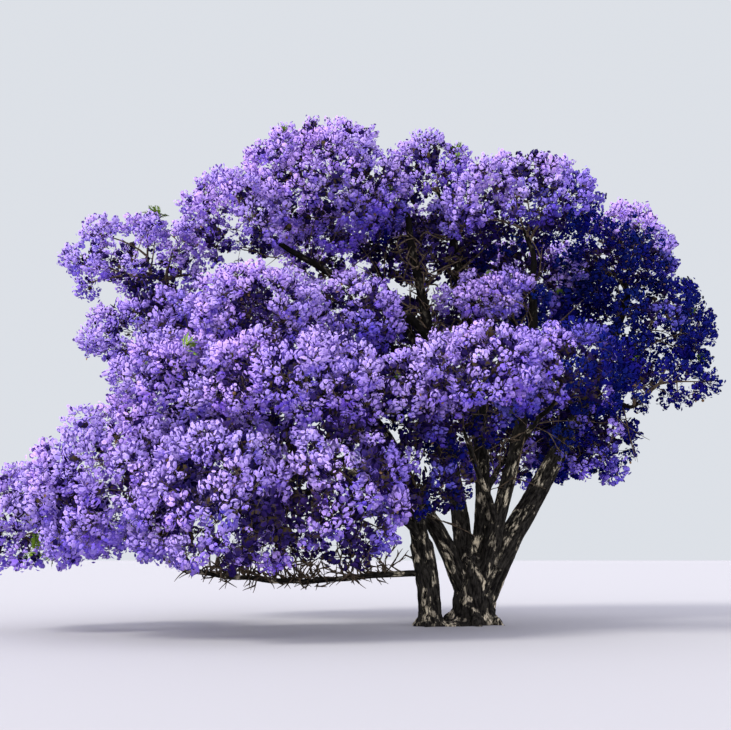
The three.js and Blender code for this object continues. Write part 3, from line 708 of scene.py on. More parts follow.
@functools.lru_cache(maxsize=None)
def panicle_tree():
    """Blossom: at each point stands a panicle, a round head of trumpets with five lobes bent back from the throat"""
    nodes, given = new_tree("panicles", Flowers=9, Panicle_radius=0.11, Flower_radius=0.05, Flower_depth=0.045,
                            Petal_share=0.9, Seed=5)
    trumpet = nodes.cone(PETALS, given["Flower radius"], given["Flower depth"])
    mouth = nodes.add("ShaderNodeSeparateXYZ", {"Vector": nodes.add("GeometryNodeInputPosition")})
    rim = nodes.math("LESS_THAN", mouth.outputs["Z"], nodes.times(given["Flower depth"], 0.5))
    flower = nodes.add("GeometryNodeScaleElements", {
        "Geometry": nodes.store(trumpet, "rim", rim), "Scale": given["Petal share"]}, domain="FACE")
    heads = []
    for variant in range(3):
        seed = nodes.plus(given["Seed"], float(variant * 11))
        index = nodes.add("GeometryNodeInputIndex")
        lift = nodes.math("DIVIDE", nodes.plus(index, 0.5), given["Flowers"])
        z = nodes.math("SUBTRACT", 1.0, nodes.times(lift, 1.66))
        ring = nodes.math("SQRT", nodes.math("SUBTRACT", 1.0, nodes.times(z, z)))
        angle = nodes.plus(nodes.times(index, GOLDEN_ANGLE), float(variant * 2))
        out = nodes.add("ShaderNodeCombineXYZ", {
            "X": nodes.times(ring, nodes.math("COSINE", angle)),
            "Y": nodes.times(ring, nodes.math("SINE", angle)), "Z": z})
        direction = nodes.shaken(out, 0.26, seed)
        core = nodes.times(given["Panicle radius"], nodes.random(0.62, 1.0, nodes.plus(seed, 3.0)))
        place = nodes.add("ShaderNodeVectorMath", {0: direction, "Scale": core}, operation="SCALE")
        points = nodes.add("GeometryNodePoints", {"Count": given["Flowers"], "Position": place})
        # each flower keeps in high how high it stands on its head, from which the blossom's material paints shade on
        # the lower side of the head
        heads.append(nodes.add("GeometryNodeRealizeInstances", {"Geometry": nodes.stand(
            nodes.store(points, "high", nodes.share(z, -0.7, 0.9)), flower,
            nodes.turned(nodes.shaken(direction, 0.32, nodes.plus(seed, 7.0)), nodes.times(index, 2.1)),
            nodes.random(0.75, 1.2, nodes.plus(seed, 9.0)))}))
    stood = nodes.stand(
        given["Geometry"], nodes.add("GeometryNodeGeometryToInstance", {"Geometry": heads}),
        nodes.turned(nodes.read("facing"), nodes.random(0.0, 2 * pi, given["Seed"])), nodes.read("size"),
        **{"Pick Instance": True, "Instance Index": nodes.random(0, 2, nodes.plus(given["Seed"], 1.0))})
    tint = nodes.random(0.0, 1.0, nodes.plus(given["Seed"], 2.0))
    return finish_tree(nodes, nodes.store(stood, "tint", tint, "INSTANCE"), given["Material"])


@functools.lru_cache(maxsize=None)
def twig_sweep_tree():
    """Twigs: a tapering tube along each line of the mesh, by its own thickness at each point"""
    nodes, given = new_tree("twig tubes", Sides=3)
    lines = nodes.add("GeometryNodeMeshToCurve", {"Mesh": given["Geometry"]})
    section = nodes.add("GeometryNodeCurvePrimitiveCircle", {
        "Resolution": given["Sides"], "Radius": 1.0}, mode="RADIUS")
    tubes = nodes.add("GeometryNodeCurveToMesh", {
        "Curve": lines, "Profile Curve": section, "Scale": nodes.read("thick", "FLOAT"), "Fill Caps": True})
    smooth = nodes.add("GeometryNodeSetShadeSmooth", {"Geometry": tubes, "Shade Smooth": True})
    return finish_tree(nodes, smooth, given["Material"])


@functools.lru_cache(maxsize=None)
def stalk_tree():
    """Stalks: a three-sided spike at each point, pointing where its panicle stands"""
    nodes, given = new_tree("stalks", Stalk_radius=0.007)
    reach = nodes.read("facing")
    size = nodes.add("ShaderNodeCombineXYZ", {
        "X": 1.0, "Y": 1.0, "Z": nodes.add("ShaderNodeVectorMath", {0: reach}, operation="LENGTH")})
    spike = nodes.cone(3, given["Stalk radius"], 1.0)
    return finish_tree(nodes, nodes.stand(given["Geometry"], spike, nodes.aligned(reach), size), given["Material"])


def put_in_scene(name, data):
    """A new object, at the origin"""
    thing = bpy.data.objects.new(name, data)
    bpy.context.scene.collection.objects.link(thing)
    return thing


def finish_piece(piece, replaced, slot):
    """Hands a finished mesh over to the frame"""
    if not piece.data.polygons:
        raise RuntimeError(piece.name + " came out empty")
    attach(piece, "root")
    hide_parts(*replaced)


def apply_modifiers(piece):
    """The plain mesh that a piece's modifiers make of it, which takes their place"""
    piece_as_made = piece.evaluated_get(bpy.context.evaluated_depsgraph_get())
    made = bpy.data.meshes.new_from_object(piece_as_made)
    piece.modifiers.clear()
    piece.data = made
    return made


def point_mesh(name, points, edges=(), **attributes):
    """A mesh of bare points and lines that carries the attributes that a tree reads"""
    mesh = bpy.data.meshes.new(name)
    mesh.from_pydata([tuple(p) for p in points], [tuple(e) for e in edges], [])
    for label, values in attributes.items():
        store_values(mesh, label, values)
    return mesh


def store_values(mesh, label, values):
    """Gives a mesh an attribute: a number or a vector at each of its points"""
    values = np.asarray(values, np.float32)
    kind, field = ("FLOAT_VECTOR", "vector") if values.ndim == 2 else ("FLOAT", "value")
    mesh.attributes.new(label, kind, "POINT").data.foreach_set(field, values.ravel())


def read_vectors(mesh, field="co"):
    """The places of a mesh's vertices, or another of their vectors"""
    values = np.empty(len(mesh.vertices) * 3, np.float32)
    mesh.vertices.foreach_get(field, values)
    return values.reshape(-1, 3)


def made_by_tree(name, mesh, tree, slot, puffs=None, **values):
    """The plain mesh that a tree makes from another mesh, as a finished piece in place of the masses

    puffs holds the way that each point's own copy faces, for copies that are to be lit as round heads.
    """
    piece = put_in_scene(name, mesh)
    maker = piece.modifiers.new("maker", "NODES")
    maker.node_group = tree
    for item in tree.interface.items_tree:
        label = item.name.replace(" ", "_")
        if item.in_out == "INPUT" and label in values:
            maker[item.identifier] = values[label]
    made = apply_modifiers(piece)
    bpy.data.meshes.remove(mesh)
    if puffs is not None:
        light_as_heads(made, puffs)
    finish_piece(piece, MASSES, slot)


def light_as_heads(mesh, facing):
    """Turns the shading of each panicle towards that of one soft round head"""
    places = read_vectors(mesh).reshape(len(facing), -1, 3)
    way = unit(places - places.mean(axis=1, keepdims=True)) + SOFTNESS * facing[:, None]
    mesh.polygons.foreach_set("use_smooth", [True] * len(mesh.polygons))
    mesh.normals_split_custom_set_from_vertices(unit(way).reshape(-1, 3).tolist())


def new_material(name, shown):
    """A new material with a colour for the viewport: its nodes, and each point's place on its object"""
    material = bpy.data.materials.new(name)
    material.use_nodes = True
    material.diffuse_color = (*shown, 1)
    nodes = Nodes(material.node_tree)
    nodes.material = material
    return nodes, nodes.add("ShaderNodeTexCoord").outputs["Object"]


def finish_material(nodes, colour, roughness, specular, **more):
    surface = nodes.add("ShaderNodeBsdfPrincipled", {
        "Base Color": colour, "Roughness": roughness, "Specular IOR Level": specular, **more})
    nodes.add("ShaderNodeOutputMaterial", {"Surface": surface})
    return nodes.material


def blossom_material(name, colour, faded=None):
    """Petals: deeper in the throat, with painted shade on the lower side of a panicle and on the side of its spray
    away from the light, paler at the rim

    faded is the colour of the dry ones among them.
    """
    nodes, place = new_material(name, colour)
    drift = nodes.noise(place, 0.9, 3.0, 0.6)
    rim, high, lit, tint = (nodes.add("ShaderNodeAttribute", attribute_name=label).outputs["Fac"]
                            for label in ("rim", "high", "lit", "tint"))
    # under is painted shade: the colour of the lower side of each panicle and of the side of its spray away from the
    # light
    edge, throat, under = ((*np.minimum(np.array(colour) * share, 1), 1) for share in (
        (1.06, 1.08, 1.0), (0.72, 0.60, 0.86), (0.45, 0.34, 0.96)))
    side = nodes.plus(nodes.times(high, 0.55), nodes.times(lit, 0.75))
    shaded = nodes.blend(nodes.share(side, 0.1, 0.8), under, nodes.blend(rim, throat, edge))
    lift = nodes.plus(nodes.times(tint, 0.7), nodes.times(drift, 0.6))
    shown = nodes.add("ShaderNodeHueSaturation", {
        "Hue": nodes.plus(nodes.times(drift, 0.05), 0.475), "Saturation": 1.0,
        "Value": nodes.plus(nodes.times(lift, 0.28), 0.815), "Fac": 1.0, "Color": shaded})
    if faded is not None:
        dry = nodes.share(nodes.noise(place, 4.0, 3.0, 0.7), 0.52, 0.61)
        shown = nodes.blend(dry, shown, (*faded, 1))
    return finish_material(nodes, shown, 0.8, 0.0)


def tone_of(place, own, stems, random):
    """Which colour a spray is painted, in painted light and shade: deeper low down, on the side of its mass that the
    sun doesn't reach, the more so towards the right, near the stems, and deepest on the right shoulder, all but its
    painted sunlit upper edge. What faces the crown's heart is painted as never seeing the sun."""
    x, _, z = place.point
    stands = (place.point - own.centre) / own.radii
    inward = unit(CROWN_HEART - own.centre) @ place.direction
    if norm(stands) < 0.5 and not own.lit_heart:
        return DEEP_SHADE
    # painted highlights: now and then a spray in the painted navy shade is painted as catching the light
    if NAVY_FROM < x < NAVY_FROM + SUNLIT_SPECKS[0] and z < SUNLIT_SPECKS[1] and random > 0.8:
        return VIOLET if random > 0.91 else BLUE
    if own.centre[1] > 1.5 and inward + 0.4 * (random - 0.5) > 0.3 and own.shade == 0:
        return NAVY_SHADE if x > NAVY_FROM else DEEP_SHADE
    if SHADED_SKIRT[0] < x < SHADED_SKIRT[1] and z < SHADED_SKIRT[2] and random < 0.4:
        return DEEP_SHADE
    low = 1 - min(max((z - 3.6) / 7.2, 0), 1)
    right = min(max((x + 5.5) / 9.5, 0), 1)
    shade = 0.7 * low + 0.5 * right + 1.7 * (random - 0.5) + 0.3 + own.shade
    shade += 4.5 * right**1.2 * max(0.3 - stands @ SUNWARD, 0)
    if z < 7.5:
        shade += max(x - 1.2, 0) * (0.7 + 1.7 * random)
    if x > SHOULDER[0]:
        shade += IN_SHADE if z < SHOULDER[1] - SHOULDER[2] * (x - SHOULDER[0]) else -1.4
    if own is MASSES[BEHIND_STEM[0]] and x > BEHIND_STEM[1]:
        shade += IN_SHADE
    apart = norm(stems - place.point, axis=1).min()
    shade += 1.6 * max(-stands[2] - 0.15, 0) + 3.5 * max(1 - apart / 3, 0) ** 1.5
    return int(min(max(shade + 0.5, 0), NAVY_SHADE))


def inner_tones(x, own, chances):
    """Which colours the panicles inside a spray are painted: lilac where light is painted as coming through, more of
    them the further left, painted shade elsewhere, and navy shade on the right
    """
    if x > NAVY_FROM:
        return np.full(len(chances), NAVY_SHADE)
    light = 1.0 if own.lit_heart else min(max((-x - 3.5) / 4.5, 0), 0.6)
    return np.where(chances < light, LILAC, DEEP_SHADE)


def open_blossom(settings):
    """Every panicle, in pieces of one colour each"""
    sprays = set_panicles(settings.density, settings.panicle_radius)
    dice = np.random.default_rng(23)
    stems = samples_of(grow_skeleton().stems.values())[0]
    tones = []
    for spray in sprays:
        inside = inner_tones(spray.place.point[0], spray.own, dice.random(len(spray.inner)))
        tones.append(np.where(spray.inner, inside, tone_of(spray.place, spray.own, stems, dice.random())))
    for tone, name in enumerate(TONES):
        # The darkest tone is painted shade inside the sprays: only it has dry blossom mixed in, and its heads have
        # half as many larger flowers, a dark cover that fills the inside
        deep = tone == DEEP_SHADE
        material = blossom_material(
            "blossom " + name.replace("_", " "), getattr(settings, name), settings.faded if deep else None)
        for side in ("near", "far"):
            flowers, flower_radius = settings.flowers, settings.flower_radius
            if side == "far":
                flowers, flower_radius = round(flowers * 0.6), flower_radius * 1.3
            if deep:
                flowers, flower_radius = ceil(flowers * 0.5), flower_radius * 1.42
            chosen = [(spray, own == tone) for spray, own in zip(sprays, tones)
                      if (spray.place.point[1] > NEAR_SIDE) == (side == "far")]
            parts = {part: np.concatenate([getattr(spray, part)[kept] for spray, kept in chosen])
                     for part in ("points", "facing", "size", "lit")}
            most = MOST_TRIANGLES // (flowers * PETALS)
            for number, start in enumerate(range(0, len(parts["points"]), most)):
                some = {part: values[start:start + most] for part, values in parts.items()}
                made_by_tree(
                    f"blossom_{name}_{side}_{number + 1}", point_mesh("panicles", **some), panicle_tree(),
                    "blossom", some["facing"], Flowers=flowers, Panicle_radius=settings.panicle_radius,
                    Flower_radius=flower_radius, Flower_depth=settings.flower_depth, Seed=5 + number,
                    Material=material)


def plain_material(name, colour, other, scale, roughness):
    """A matt finish that drifts between two colours"""
    nodes, place = new_material(name, colour)
    share = nodes.share(nodes.noise(place, scale, 3.0), 0.35, 0.65)
    return finish_material(nodes, nodes.blend(share, (*colour, 1), (*other, 1)), roughness, 0.2)


def frond(foot, aim, length, dice):
    """A young fern-like leaf: pairs of lozenge leaflets along a bowed rib"""
    side = unit(np.cross(aim, (0, 0, 1)) + 1e-6)
    up = np.cross(side, aim)
    vertices = []
    for share in (0.18 + 0.8 * k / (LEAFLET_PAIRS - 1) for k in range(LEAFLET_PAIRS)):
        rib = foot + aim * length * share + up * length * (0.5 * share - 0.62 * share**2)
        reach = 0.34 * length * sin(pi * (0.2 + 0.72 * share))
        for way in (-1, 1):
            out = unit(side * way + 0.55 * aim - 0.25 * up + dice.normal(0, 0.12, 3)) * reach
            across = unit(np.cross(out, up)) * reach * 0.2
            vertices += [rib, rib + out * 0.5 + across, rib + out, rib + out * 0.5 - across]
    return np.array(vertices), [tuple(range(k, k + 4)) for k in range(0, len(vertices), 4)]


def grow_leaves(settings, blossom):
    """A few tufts of young leaves on the outside of the crown, and flat seed pods inside it"""
    sprays = set_panicles(blossom.density, blossom.panicle_radius)
    dice = np.random.default_rng(61)
    outer = np.concatenate([spray.points[~spray.inner] for spray in sprays])
    facing = np.concatenate([spray.facing[~spray.inner] for spray in sprays])
    chosen = [int(norm(outer - spot, axis=1).argmin()) for spot in LEAF_SPOTS]
    chosen += [int(k) for k in dice.choice(len(outer), settings.tufts, replace=False)]
    fronds = []
    for number, k in enumerate(chosen):
        big = 1.25 if number < len(LEAF_SPOTS) else 0.55 + 0.3 * dice.random()
        for aim in unit(facing[k] + dice.normal(0, 0.75, (6, 3))):
            fronds.append(frond(outer[k] - facing[k] * 0.04, aim, settings.leaf_length * big, dice))

    hearts = np.concatenate([spray.points for spray in sprays if spray.place.fine])
    turn = np.arange(6) * pi / 3
    pods = []
    for k in dice.choice(len(hearts), settings.pods, replace=False):
        face = unit(dice.normal(0, 1, 3))
        side = unit(np.cross(face, dice.normal(0, 1, 3)))
        rim = hearts[k] + np.array([0, 0, -0.1]) + settings.pod_radius * (
            side * np.cos(turn)[:, None] + np.cross(face, side) * np.sin(turn)[:, None])
        middle = rim.mean(axis=0)
        points = np.vstack([rim, middle + face * 0.012, middle - face * 0.012])
        pods.append((points, [(j, (j + 1) % 6, 6) for j in range(6)] + [((j + 1) % 6, j, 7) for j in range(6)]))

    for name, slot, parts, colour, darker, scale, roughness in (
            ("leaves", "blossom", fronds, settings.leaf_colour, (0.35, 0.45, 0.4), 3.0, 0.6),
            ("seed_pods", "bark", pods, settings.pod_colour, 0.3, 4.0, 0.7)):
        piece = put_in_scene(name, joined_mesh(name, parts))
        piece.data.materials.append(plain_material(
            name.replace("_", " "), colour, np.array(colour) * darker, scale, roughness))
        finish_piece(piece, MASSES, slot)


def twig_material(settings):
    """Young wood: dark brown with paler flecks"""
    nodes, place = new_material("twig bark", settings.twig_colour)
    colour = np.array(settings.twig_colour)
    flecks = nodes.noise(place, 7.0, 4.0, 0.7)
    wood = nodes.ramp(flecks, (0.38, colour * 0.45), (0.72, np.minimum(colour * 3.2, 1)))
    return finish_material(nodes, wood, 0.9, 0.06)


def lines_mesh(lines):
    """One mesh of many lines. Each line is its points and its thickness at each of them."""
    edges, start = [], 0
    for line, _ in lines:
        edges += [(start + k, start + k + 1) for k in range(len(line) - 1)]
        start += len(line)
    points, thick = (np.concatenate(part) for part in zip(*lines))
    return point_mesh("lines", points, edges, thick=thick)


def bare_twigs():
    """Small bare twigs along the boughs and the upper stems, each with a side twig or two"""
    skeleton = grow_skeleton()
    dice = np.random.default_rng(77)
    lines = []
    for name, limb in {**skeleton.boughs, **skeleton.stems}.items():
        tangled = name in TANGLES
        shares = np.arange(0.3, 0.97, BARE_TWIG_STEP / limb.length) + dice.random() * 0.03
        if tangled:
            first, last, count, rise = TANGLES[name]
            shares = first + (last - first) * dice.random(count) ** 0.8
        for share in shares:
            lean, start = limb.lean(share), limb.at(share)
            if start[2] < BARE_TWIG_LEAST_HEIGHT and name in STEMS:
                continue
            aim = unit(unit(np.cross(lean, dice.normal(0, 1, 3))) + 0.5 * lean)
            lowest = 0.5
            if tangled:
                lowest = start[2] - 0.28
                aim = unit(dice.normal(0, 1, 3) + 0.7 * lean + np.array([0, 0, rise]))
            for _ in range(6 if tangled else 3):
                length = (0.25 + 0.3 * dice.random()) if tangled else 0.4 + 0.8 * dice.random()
                if start[2] + aim[2] * length < lowest:
                    break
                line = bent_twig(start, lean, start + aim * length, dice.random)
                thick = 1.15 if tangled else min(length, 1)
                lines.append((line, np.linspace(0.024, 0.006, len(line)) * thick))
                start, lean = line[3], unit(line[4] - line[3])
                aim = unit(aim + dice.normal(0, 0.8 if tangled else 0.5, 3))
    return lines


def grow_twigs(settings, blossom):
    """Twigs from each mass's stem to its sprays, branchlets inside the sprays, and the panicles' stalks"""
    sprays = set_panicles(blossom.density, blossom.panicle_radius)
    material = twig_material(settings)
    twigs = []
    for grown in grow_skeleton().masses:
        stout = AIRY_TWIGS if grown.own.fullness < 0.5 else 1
        for twig in grown.twigs:
            taper = 1 - 0.78 * np.linspace(0, 1, len(twig.line)) ** 0.8
            twigs.append((twig.line, twig.base * taper * stout))
    branchlets = [(line, np.array([0.011, 0.009, 0.005])) for spray in sprays for line in spray.branchlets]
    for name, lines, sides in (("twigs", twigs, 4), ("branchlets", branchlets + bare_twigs(), 3)):
        made_by_tree(name, lines_mesh(lines), twig_sweep_tree(), "bark", Sides=sides, Material=material)
    feet = np.concatenate([spray.stalks for spray in sprays])
    reach = np.concatenate([spray.points for spray in sprays]) - feet
    made_by_tree("stalks", point_mesh("feet", feet, facing=reach), stalk_tree(), "bark",
                 Stalk_radius=0.006, Material=material)


def across_frames(points):
    """The lean of a line and two directions across it at each point, turning as little as they can along it"""
    lean = unit(np.gradient(points, axis=0))
    side = np.empty_like(points)
    side[0] = unit(np.cross(lean[0], (0, 1, 0) if abs(lean[0][1]) < 0.9 else (1, 0, 0)))
    for k in range(1, len(points)):
        side[k] = unit(side[k - 1] - lean[k] * (side[k - 1] @ lean[k]))
    return lean, side, np.cross(lean, side)


def skin_of_rings(rings, sides):
    """The faces of a closed skin over rings of vertices"""
    faces = [(k * sides + j, k * sides + (j + 1) % sides, (k + 1) * sides + (j + 1) % sides, (k + 1) * sides + j)
             for k in range(rings - 1) for j in range(sides)]
    return faces + [tuple(range(sides))[::-1], tuple((rings - 1) * sides + j for j in range(sides))]


def tube(points, radii, sides):
    """A closed tube along some points. radii is one number for each ring, or one for each ring and side."""
    _, side, other = across_frames(points)
    turn = np.arange(sides) * 2 * pi / sides
    spokes = side[:, None] * np.cos(turn)[:, None] + other[:, None] * np.sin(turn)[:, None]
    radii = radii[:, None] if radii.ndim == 1 else radii
    return (points[:, None] + spokes * radii[..., None]).reshape(-1, 3), skin_of_rings(len(points), sides)


def joined_mesh(name, parts):
    """One mesh of several sets of vertices and faces"""
    faces, start = [], 0
    for points, own in parts:
        faces += [tuple(start + i for i in face) for face in own]
        start += len(points)
    mesh = bpy.data.meshes.new(name)
    mesh.from_pydata([tuple(v) for points, _ in parts for v in points], [], faces)
    return mesh


def bark_noise(places, scale, stretch, seed, ridged=False):
    """Fractal noise read on the straightened limb, so that it runs along the grain"""
    values = np.empty(len(places))
    for i, (x, y, z) in enumerate(places):
        at = Vector((x * scale, y * scale, z * scale / stretch + seed))
        values[i] = noise.ridged_multi_fractal(at, 0.9, 2.1, 3, 1.0, 2.0) if ridged else noise.fractal(at, 0.8, 2.0, 3)
    return values


def straightened(vertices, limbs):
    """Where each vertex would be if its limb stood straight on its own spot, and that limb's radius"""
    tracks = []
    for number, limb in enumerate(limbs):
        share = np.linspace(0, 1, max(8, int(limb.length / 0.06)))
        points = limb.at(share)
        tracks.append((points, limb.radius_at(share), *across_frames(points), share * limb.length,
                       np.full(len(share), number)))
    points, radii, lean, side, other, along, number = (np.concatenate(part) for part in zip(*tracks))
    places, thickness = [], []
    for start in range(0, len(vertices), VERTEX_BLOCK):
        block = vertices[start:start + VERTEX_BLOCK]
        best = (norm(block[:, None] - points, axis=2) - radii).argmin(axis=1)
        offset = block - points[best]
        places.append(np.stack([
            (offset * side[best]).sum(axis=1) + number[best] * GRAIN_APART,
            (offset * other[best]).sum(axis=1),
            (offset * lean[best]).sum(axis=1) + along[best]], axis=1))
        thickness.append(radii[best])
    return np.concatenate(places), np.concatenate(thickness)


def bark_material(settings):
    """Weathered bark: dark furrows along the grain, with mottled cream patches of painted dappled sunlight, and
    painted shade that makes it darker high up
    """
    nodes, place = new_material("bark", settings.bark_mid)
    grain = nodes.add("ShaderNodeAttribute", attribute_name="grain").outputs["Vector"]
    stretched, blotched = (nodes.add("ShaderNodeMapping", {"Vector": grain, "Scale": (1.0, 1.0, share)})
                           for share in (0.28, 0.5))
    furrows = nodes.noise(stretched, 17.0, 8.0, 0.68)
    plates = nodes.add("ShaderNodeTexVoronoi", {"Vector": stretched, "Scale": 13.0}, feature="DISTANCE_TO_EDGE")
    wood = nodes.ramp(furrows, (0.42, settings.bark_dark), (0.66, settings.bark_mid))
    # painted sunlight: cream dapples where the sun would fall through the crown, kept off the furrows
    patches = nodes.noise(blotched, 3.6, 6.0, 0.62, 0.6)
    painted_dapples = nodes.times(nodes.share(patches, 0.545, 0.62), nodes.share(furrows, 0.44, 0.60))
    mottled = nodes.blend(painted_dapples, wood, (*settings.bark_pale, 1))
    height = nodes.plus(nodes.times(furrows, 0.7), nodes.times(nodes.share(plates, 0.0, 0.12), 0.3))
    relief = nodes.add("ShaderNodeBump", {"Height": height, "Strength": 0.7, "Distance": 0.02})
    # painted shade: from 3.5 metres up to 6.5, under the crown, the bark goes most of the way to the furrow colour
    lift = nodes.add("ShaderNodeSeparateXYZ", {"Vector": place}).outputs["Z"]
    shown = nodes.blend(nodes.share(lift, 3.5, 6.5, 0.85), mottled, (*settings.bark_dark, 1))
    return finish_material(nodes, shown, 0.95, 0.04, Normal=relief)


def root_spurs(limb, first_turn, dice):
    """The root spurs round a bole, each a bent limb from the bole down into the ground"""
    foot = limb.at(0.0)
    for k in range(FINE_SPURS):
        turn = first_turn + (k + 0.5 * dice()) * 2 * pi / FINE_SPURS
        out = np.array([cos(turn), sin(turn), 0])
        length = 0.8 + 0.25 * dice()
        corners = [foot + out * limb.base * far for far in (0.25, 1.0 * length, 1.9 * length)]
        for corner, height in zip(corners, (FLARE_HEIGHT * (0.9 + 0.8 * dice()), FLARE_HEIGHT * 0.24, -0.07)):
            corner[2] = height
        a, b, c = corners
        thick = limb.base * (0.3 + 0.14 * dice())
        yield Limb(bezier(a, (a + 3 * b) / 4, (3 * b + c) / 4, c), thick, thick * 0.42)


def earth_bed():
    """The low mound of roots that both boles stand on"""
    turn, lift = np.meshgrid(np.arange(24) * pi / 12, np.linspace(-1, 1, 9)[1:-1])
    flat = np.sqrt(1 - lift**2)
    bed = BED_RADIUS * 0.86
    x, y = bed * flat * np.cos(turn), bed * 0.62 * flat * np.sin(turn)
    c, s = cos(pi / 7), sin(pi / 7)
    rings = np.stack([x * c - y * s, x * s + y * c, lift * BED_HEIGHT * 0.7], axis=-1).reshape(-1, 3)
    return rings, skin_of_rings(7, 24)


def grow_trunk(settings, material):
    """The boles, their root crown and the lower stems, fused and given the bark's relief"""
    skeleton = grow_skeleton()
    parts = []
    for name, limb in skeleton.boles.items():
        points, radii, share = limb.rings(0, 1, 0.08)
        flare = 1 + 0.26 * np.exp(-2.4 * share * limb.length / FLARE_HEIGHT)
        rounded = np.sqrt(np.clip((1.03 - share) * limb.length / (0.8 * limb.end), 0.05, 1))
        parts.append(tube(points, radii * flare * rounded, 28))
        for spur in root_spurs(limb, SPUR_TURN[name], random_stream(FIRST_SEED + len(parts))):
            parts.append(tube(*spur.rings(0, 1, 0.06)[:2], 16))
    for limb in skeleton.stems.values():
        parts.append(tube(*limb.rings(0, limb.share_at_height(TRUNK_TOP), 0.08)[:2], 24))
    for row in FILLETS:
        parts.append(tube(*limb_through(*row).rings(0, 1, 0.08)[:2], 20))
    parts.append(earth_bed())

    piece = put_in_scene("trunk_bark", joined_mesh("trunk_bark", parts))
    fuse = piece.modifiers.new("fuse", "REMESH")
    fuse.mode, fuse.voxel_size, fuse.use_smooth_shade = "VOXEL", settings.trunk_grain, True
    soften = piece.modifiers.new("soften", "SMOOTH")
    soften.factor, soften.iterations = 0.5, 9
    fused = apply_modifiers(piece)

    vertices, normals = read_vectors(fused).astype(float), read_vectors(fused, "normal")
    places, thickness = straightened(vertices, [*skeleton.boles.values(), *skeleton.stems.values()])
    ridges = bark_noise(places, 7.0, 4.5, 3.0, ridged=True)
    ridges = (ridges - ridges.mean()) / ridges.std()
    swells = bark_noise(places, 2.2, 2.5, 11.0)
    deep = settings.furrow_depth * np.clip(thickness / 0.35, 0.45, 1.2)
    lift = deep * (0.45 * np.clip(ridges, -2, 1.6)) + 0.09 * thickness * swells
    vertices += normals * lift[:, None]
    fused.vertices.foreach_set("co", vertices.astype(np.float32).ravel())
    store_values(fused, "grain", places)

    shaped = bmesh.new()
    shaped.from_mesh(fused)
    bmesh.ops.bisect_plane(
        shaped, geom=[*shaped.verts, *shaped.edges, *shaped.faces], plane_co=(0, 0, CUT_HEIGHT),
        plane_no=(0, 0, 1), clear_inner=True)
    bmesh.ops.holes_fill(shaped, edges=[edge for edge in shaped.edges if edge.is_boundary], sides=0)
    bmesh.ops.triangulate(shaped, faces=shaped.faces)
    shaped.to_mesh(fused)
    shaped.free()
    fused.materials.clear()
    fused.materials.append(material)
    finish_piece(piece, ["trunk", *STEMS], "bark")


def grow_upper_bark(material):
    """The upper stems, the boughs and the masses' own stems, each a tapering limb with its own relief"""
    skeleton = grow_skeleton()
    noise.seed_set(FIRST_SEED)  # or else the way that boughs stray would depend on the clock
    runs = []
    for limb in skeleton.stems.values():
        points, radii, share = limb.rings(max(limb.share_at_height(TRUNK_TOP) - 0.02, 0), 1, 0.07)
        runs.append((points, radii * 0.99, share * limb.length, 16))
    for limb in skeleton.boughs.values():
        points, radii, share = limb.rings(0, 1, 0.09)
        swell = 1 + 0.35 * np.exp(-share * limb.length / 0.25)
        along = share * limb.length
        stray = np.array([noise.noise_vector(Vector((x * 1.1, len(runs) * 5.3, 0.5))) for x in along])
        points = points + stray * (BOUGH_WANDER * np.sin(pi * share) ** 0.7)[:, None]
        runs.append((points, radii * swell, along, 11))
    for grown in skeleton.masses:
        line = grown.stem
        share = np.linspace(0, 1, max(8, int(line.length / 0.12)))
        radii = grown.start_radius * (1 - 0.4 * share) * np.clip((1.04 - share) / 0.3, 0.2, 1) ** 0.7
        runs.append((line.at(share), radii, share * line.length, 8))
    parts, grain = [], []
    for number, (points, radii, along, sides) in enumerate(runs):
        turn = np.arange(sides) * 2 * pi / sides
        straight = np.stack(np.broadcast_arrays(
            radii[:, None] * np.cos(turn) + number * GRAIN_APART, radii[:, None] * np.sin(turn),
            along[:, None]), axis=-1).reshape(-1, 3)
        bumps = bark_noise(straight, 5.0, 3.0, 5.0).reshape(len(points), sides)
        parts.append(tube(points, radii[:, None] * (1 + 0.16 * bumps), sides))
        grain.append(straight)
    mesh = joined_mesh("upper_bark", parts)
    mesh.polygons.foreach_set("use_smooth", [True] * len(mesh.polygons))
    store_values(mesh, "grain", np.concatenate(grain))
    mesh.materials.append(material)
    finish_piece(put_in_scene("upper_bark", mesh), [
        *STEMS, *(name + "_bough" for name in skeleton.boughs), *MASSES], "bark")


def set_lamp(name, strength, angle, way, colour=(1.0, 1.0, 1.0)):
    """A lamp far off that shines one way"""
    lamp = bpy.data.lights.new(name, "SUN")
    lamp.energy, lamp.angle, lamp.color = strength, angle, colour
    put_in_scene(name, lamp).rotation_euler = Vector(way).to_track_quat("-Z", "Y").to_euler()


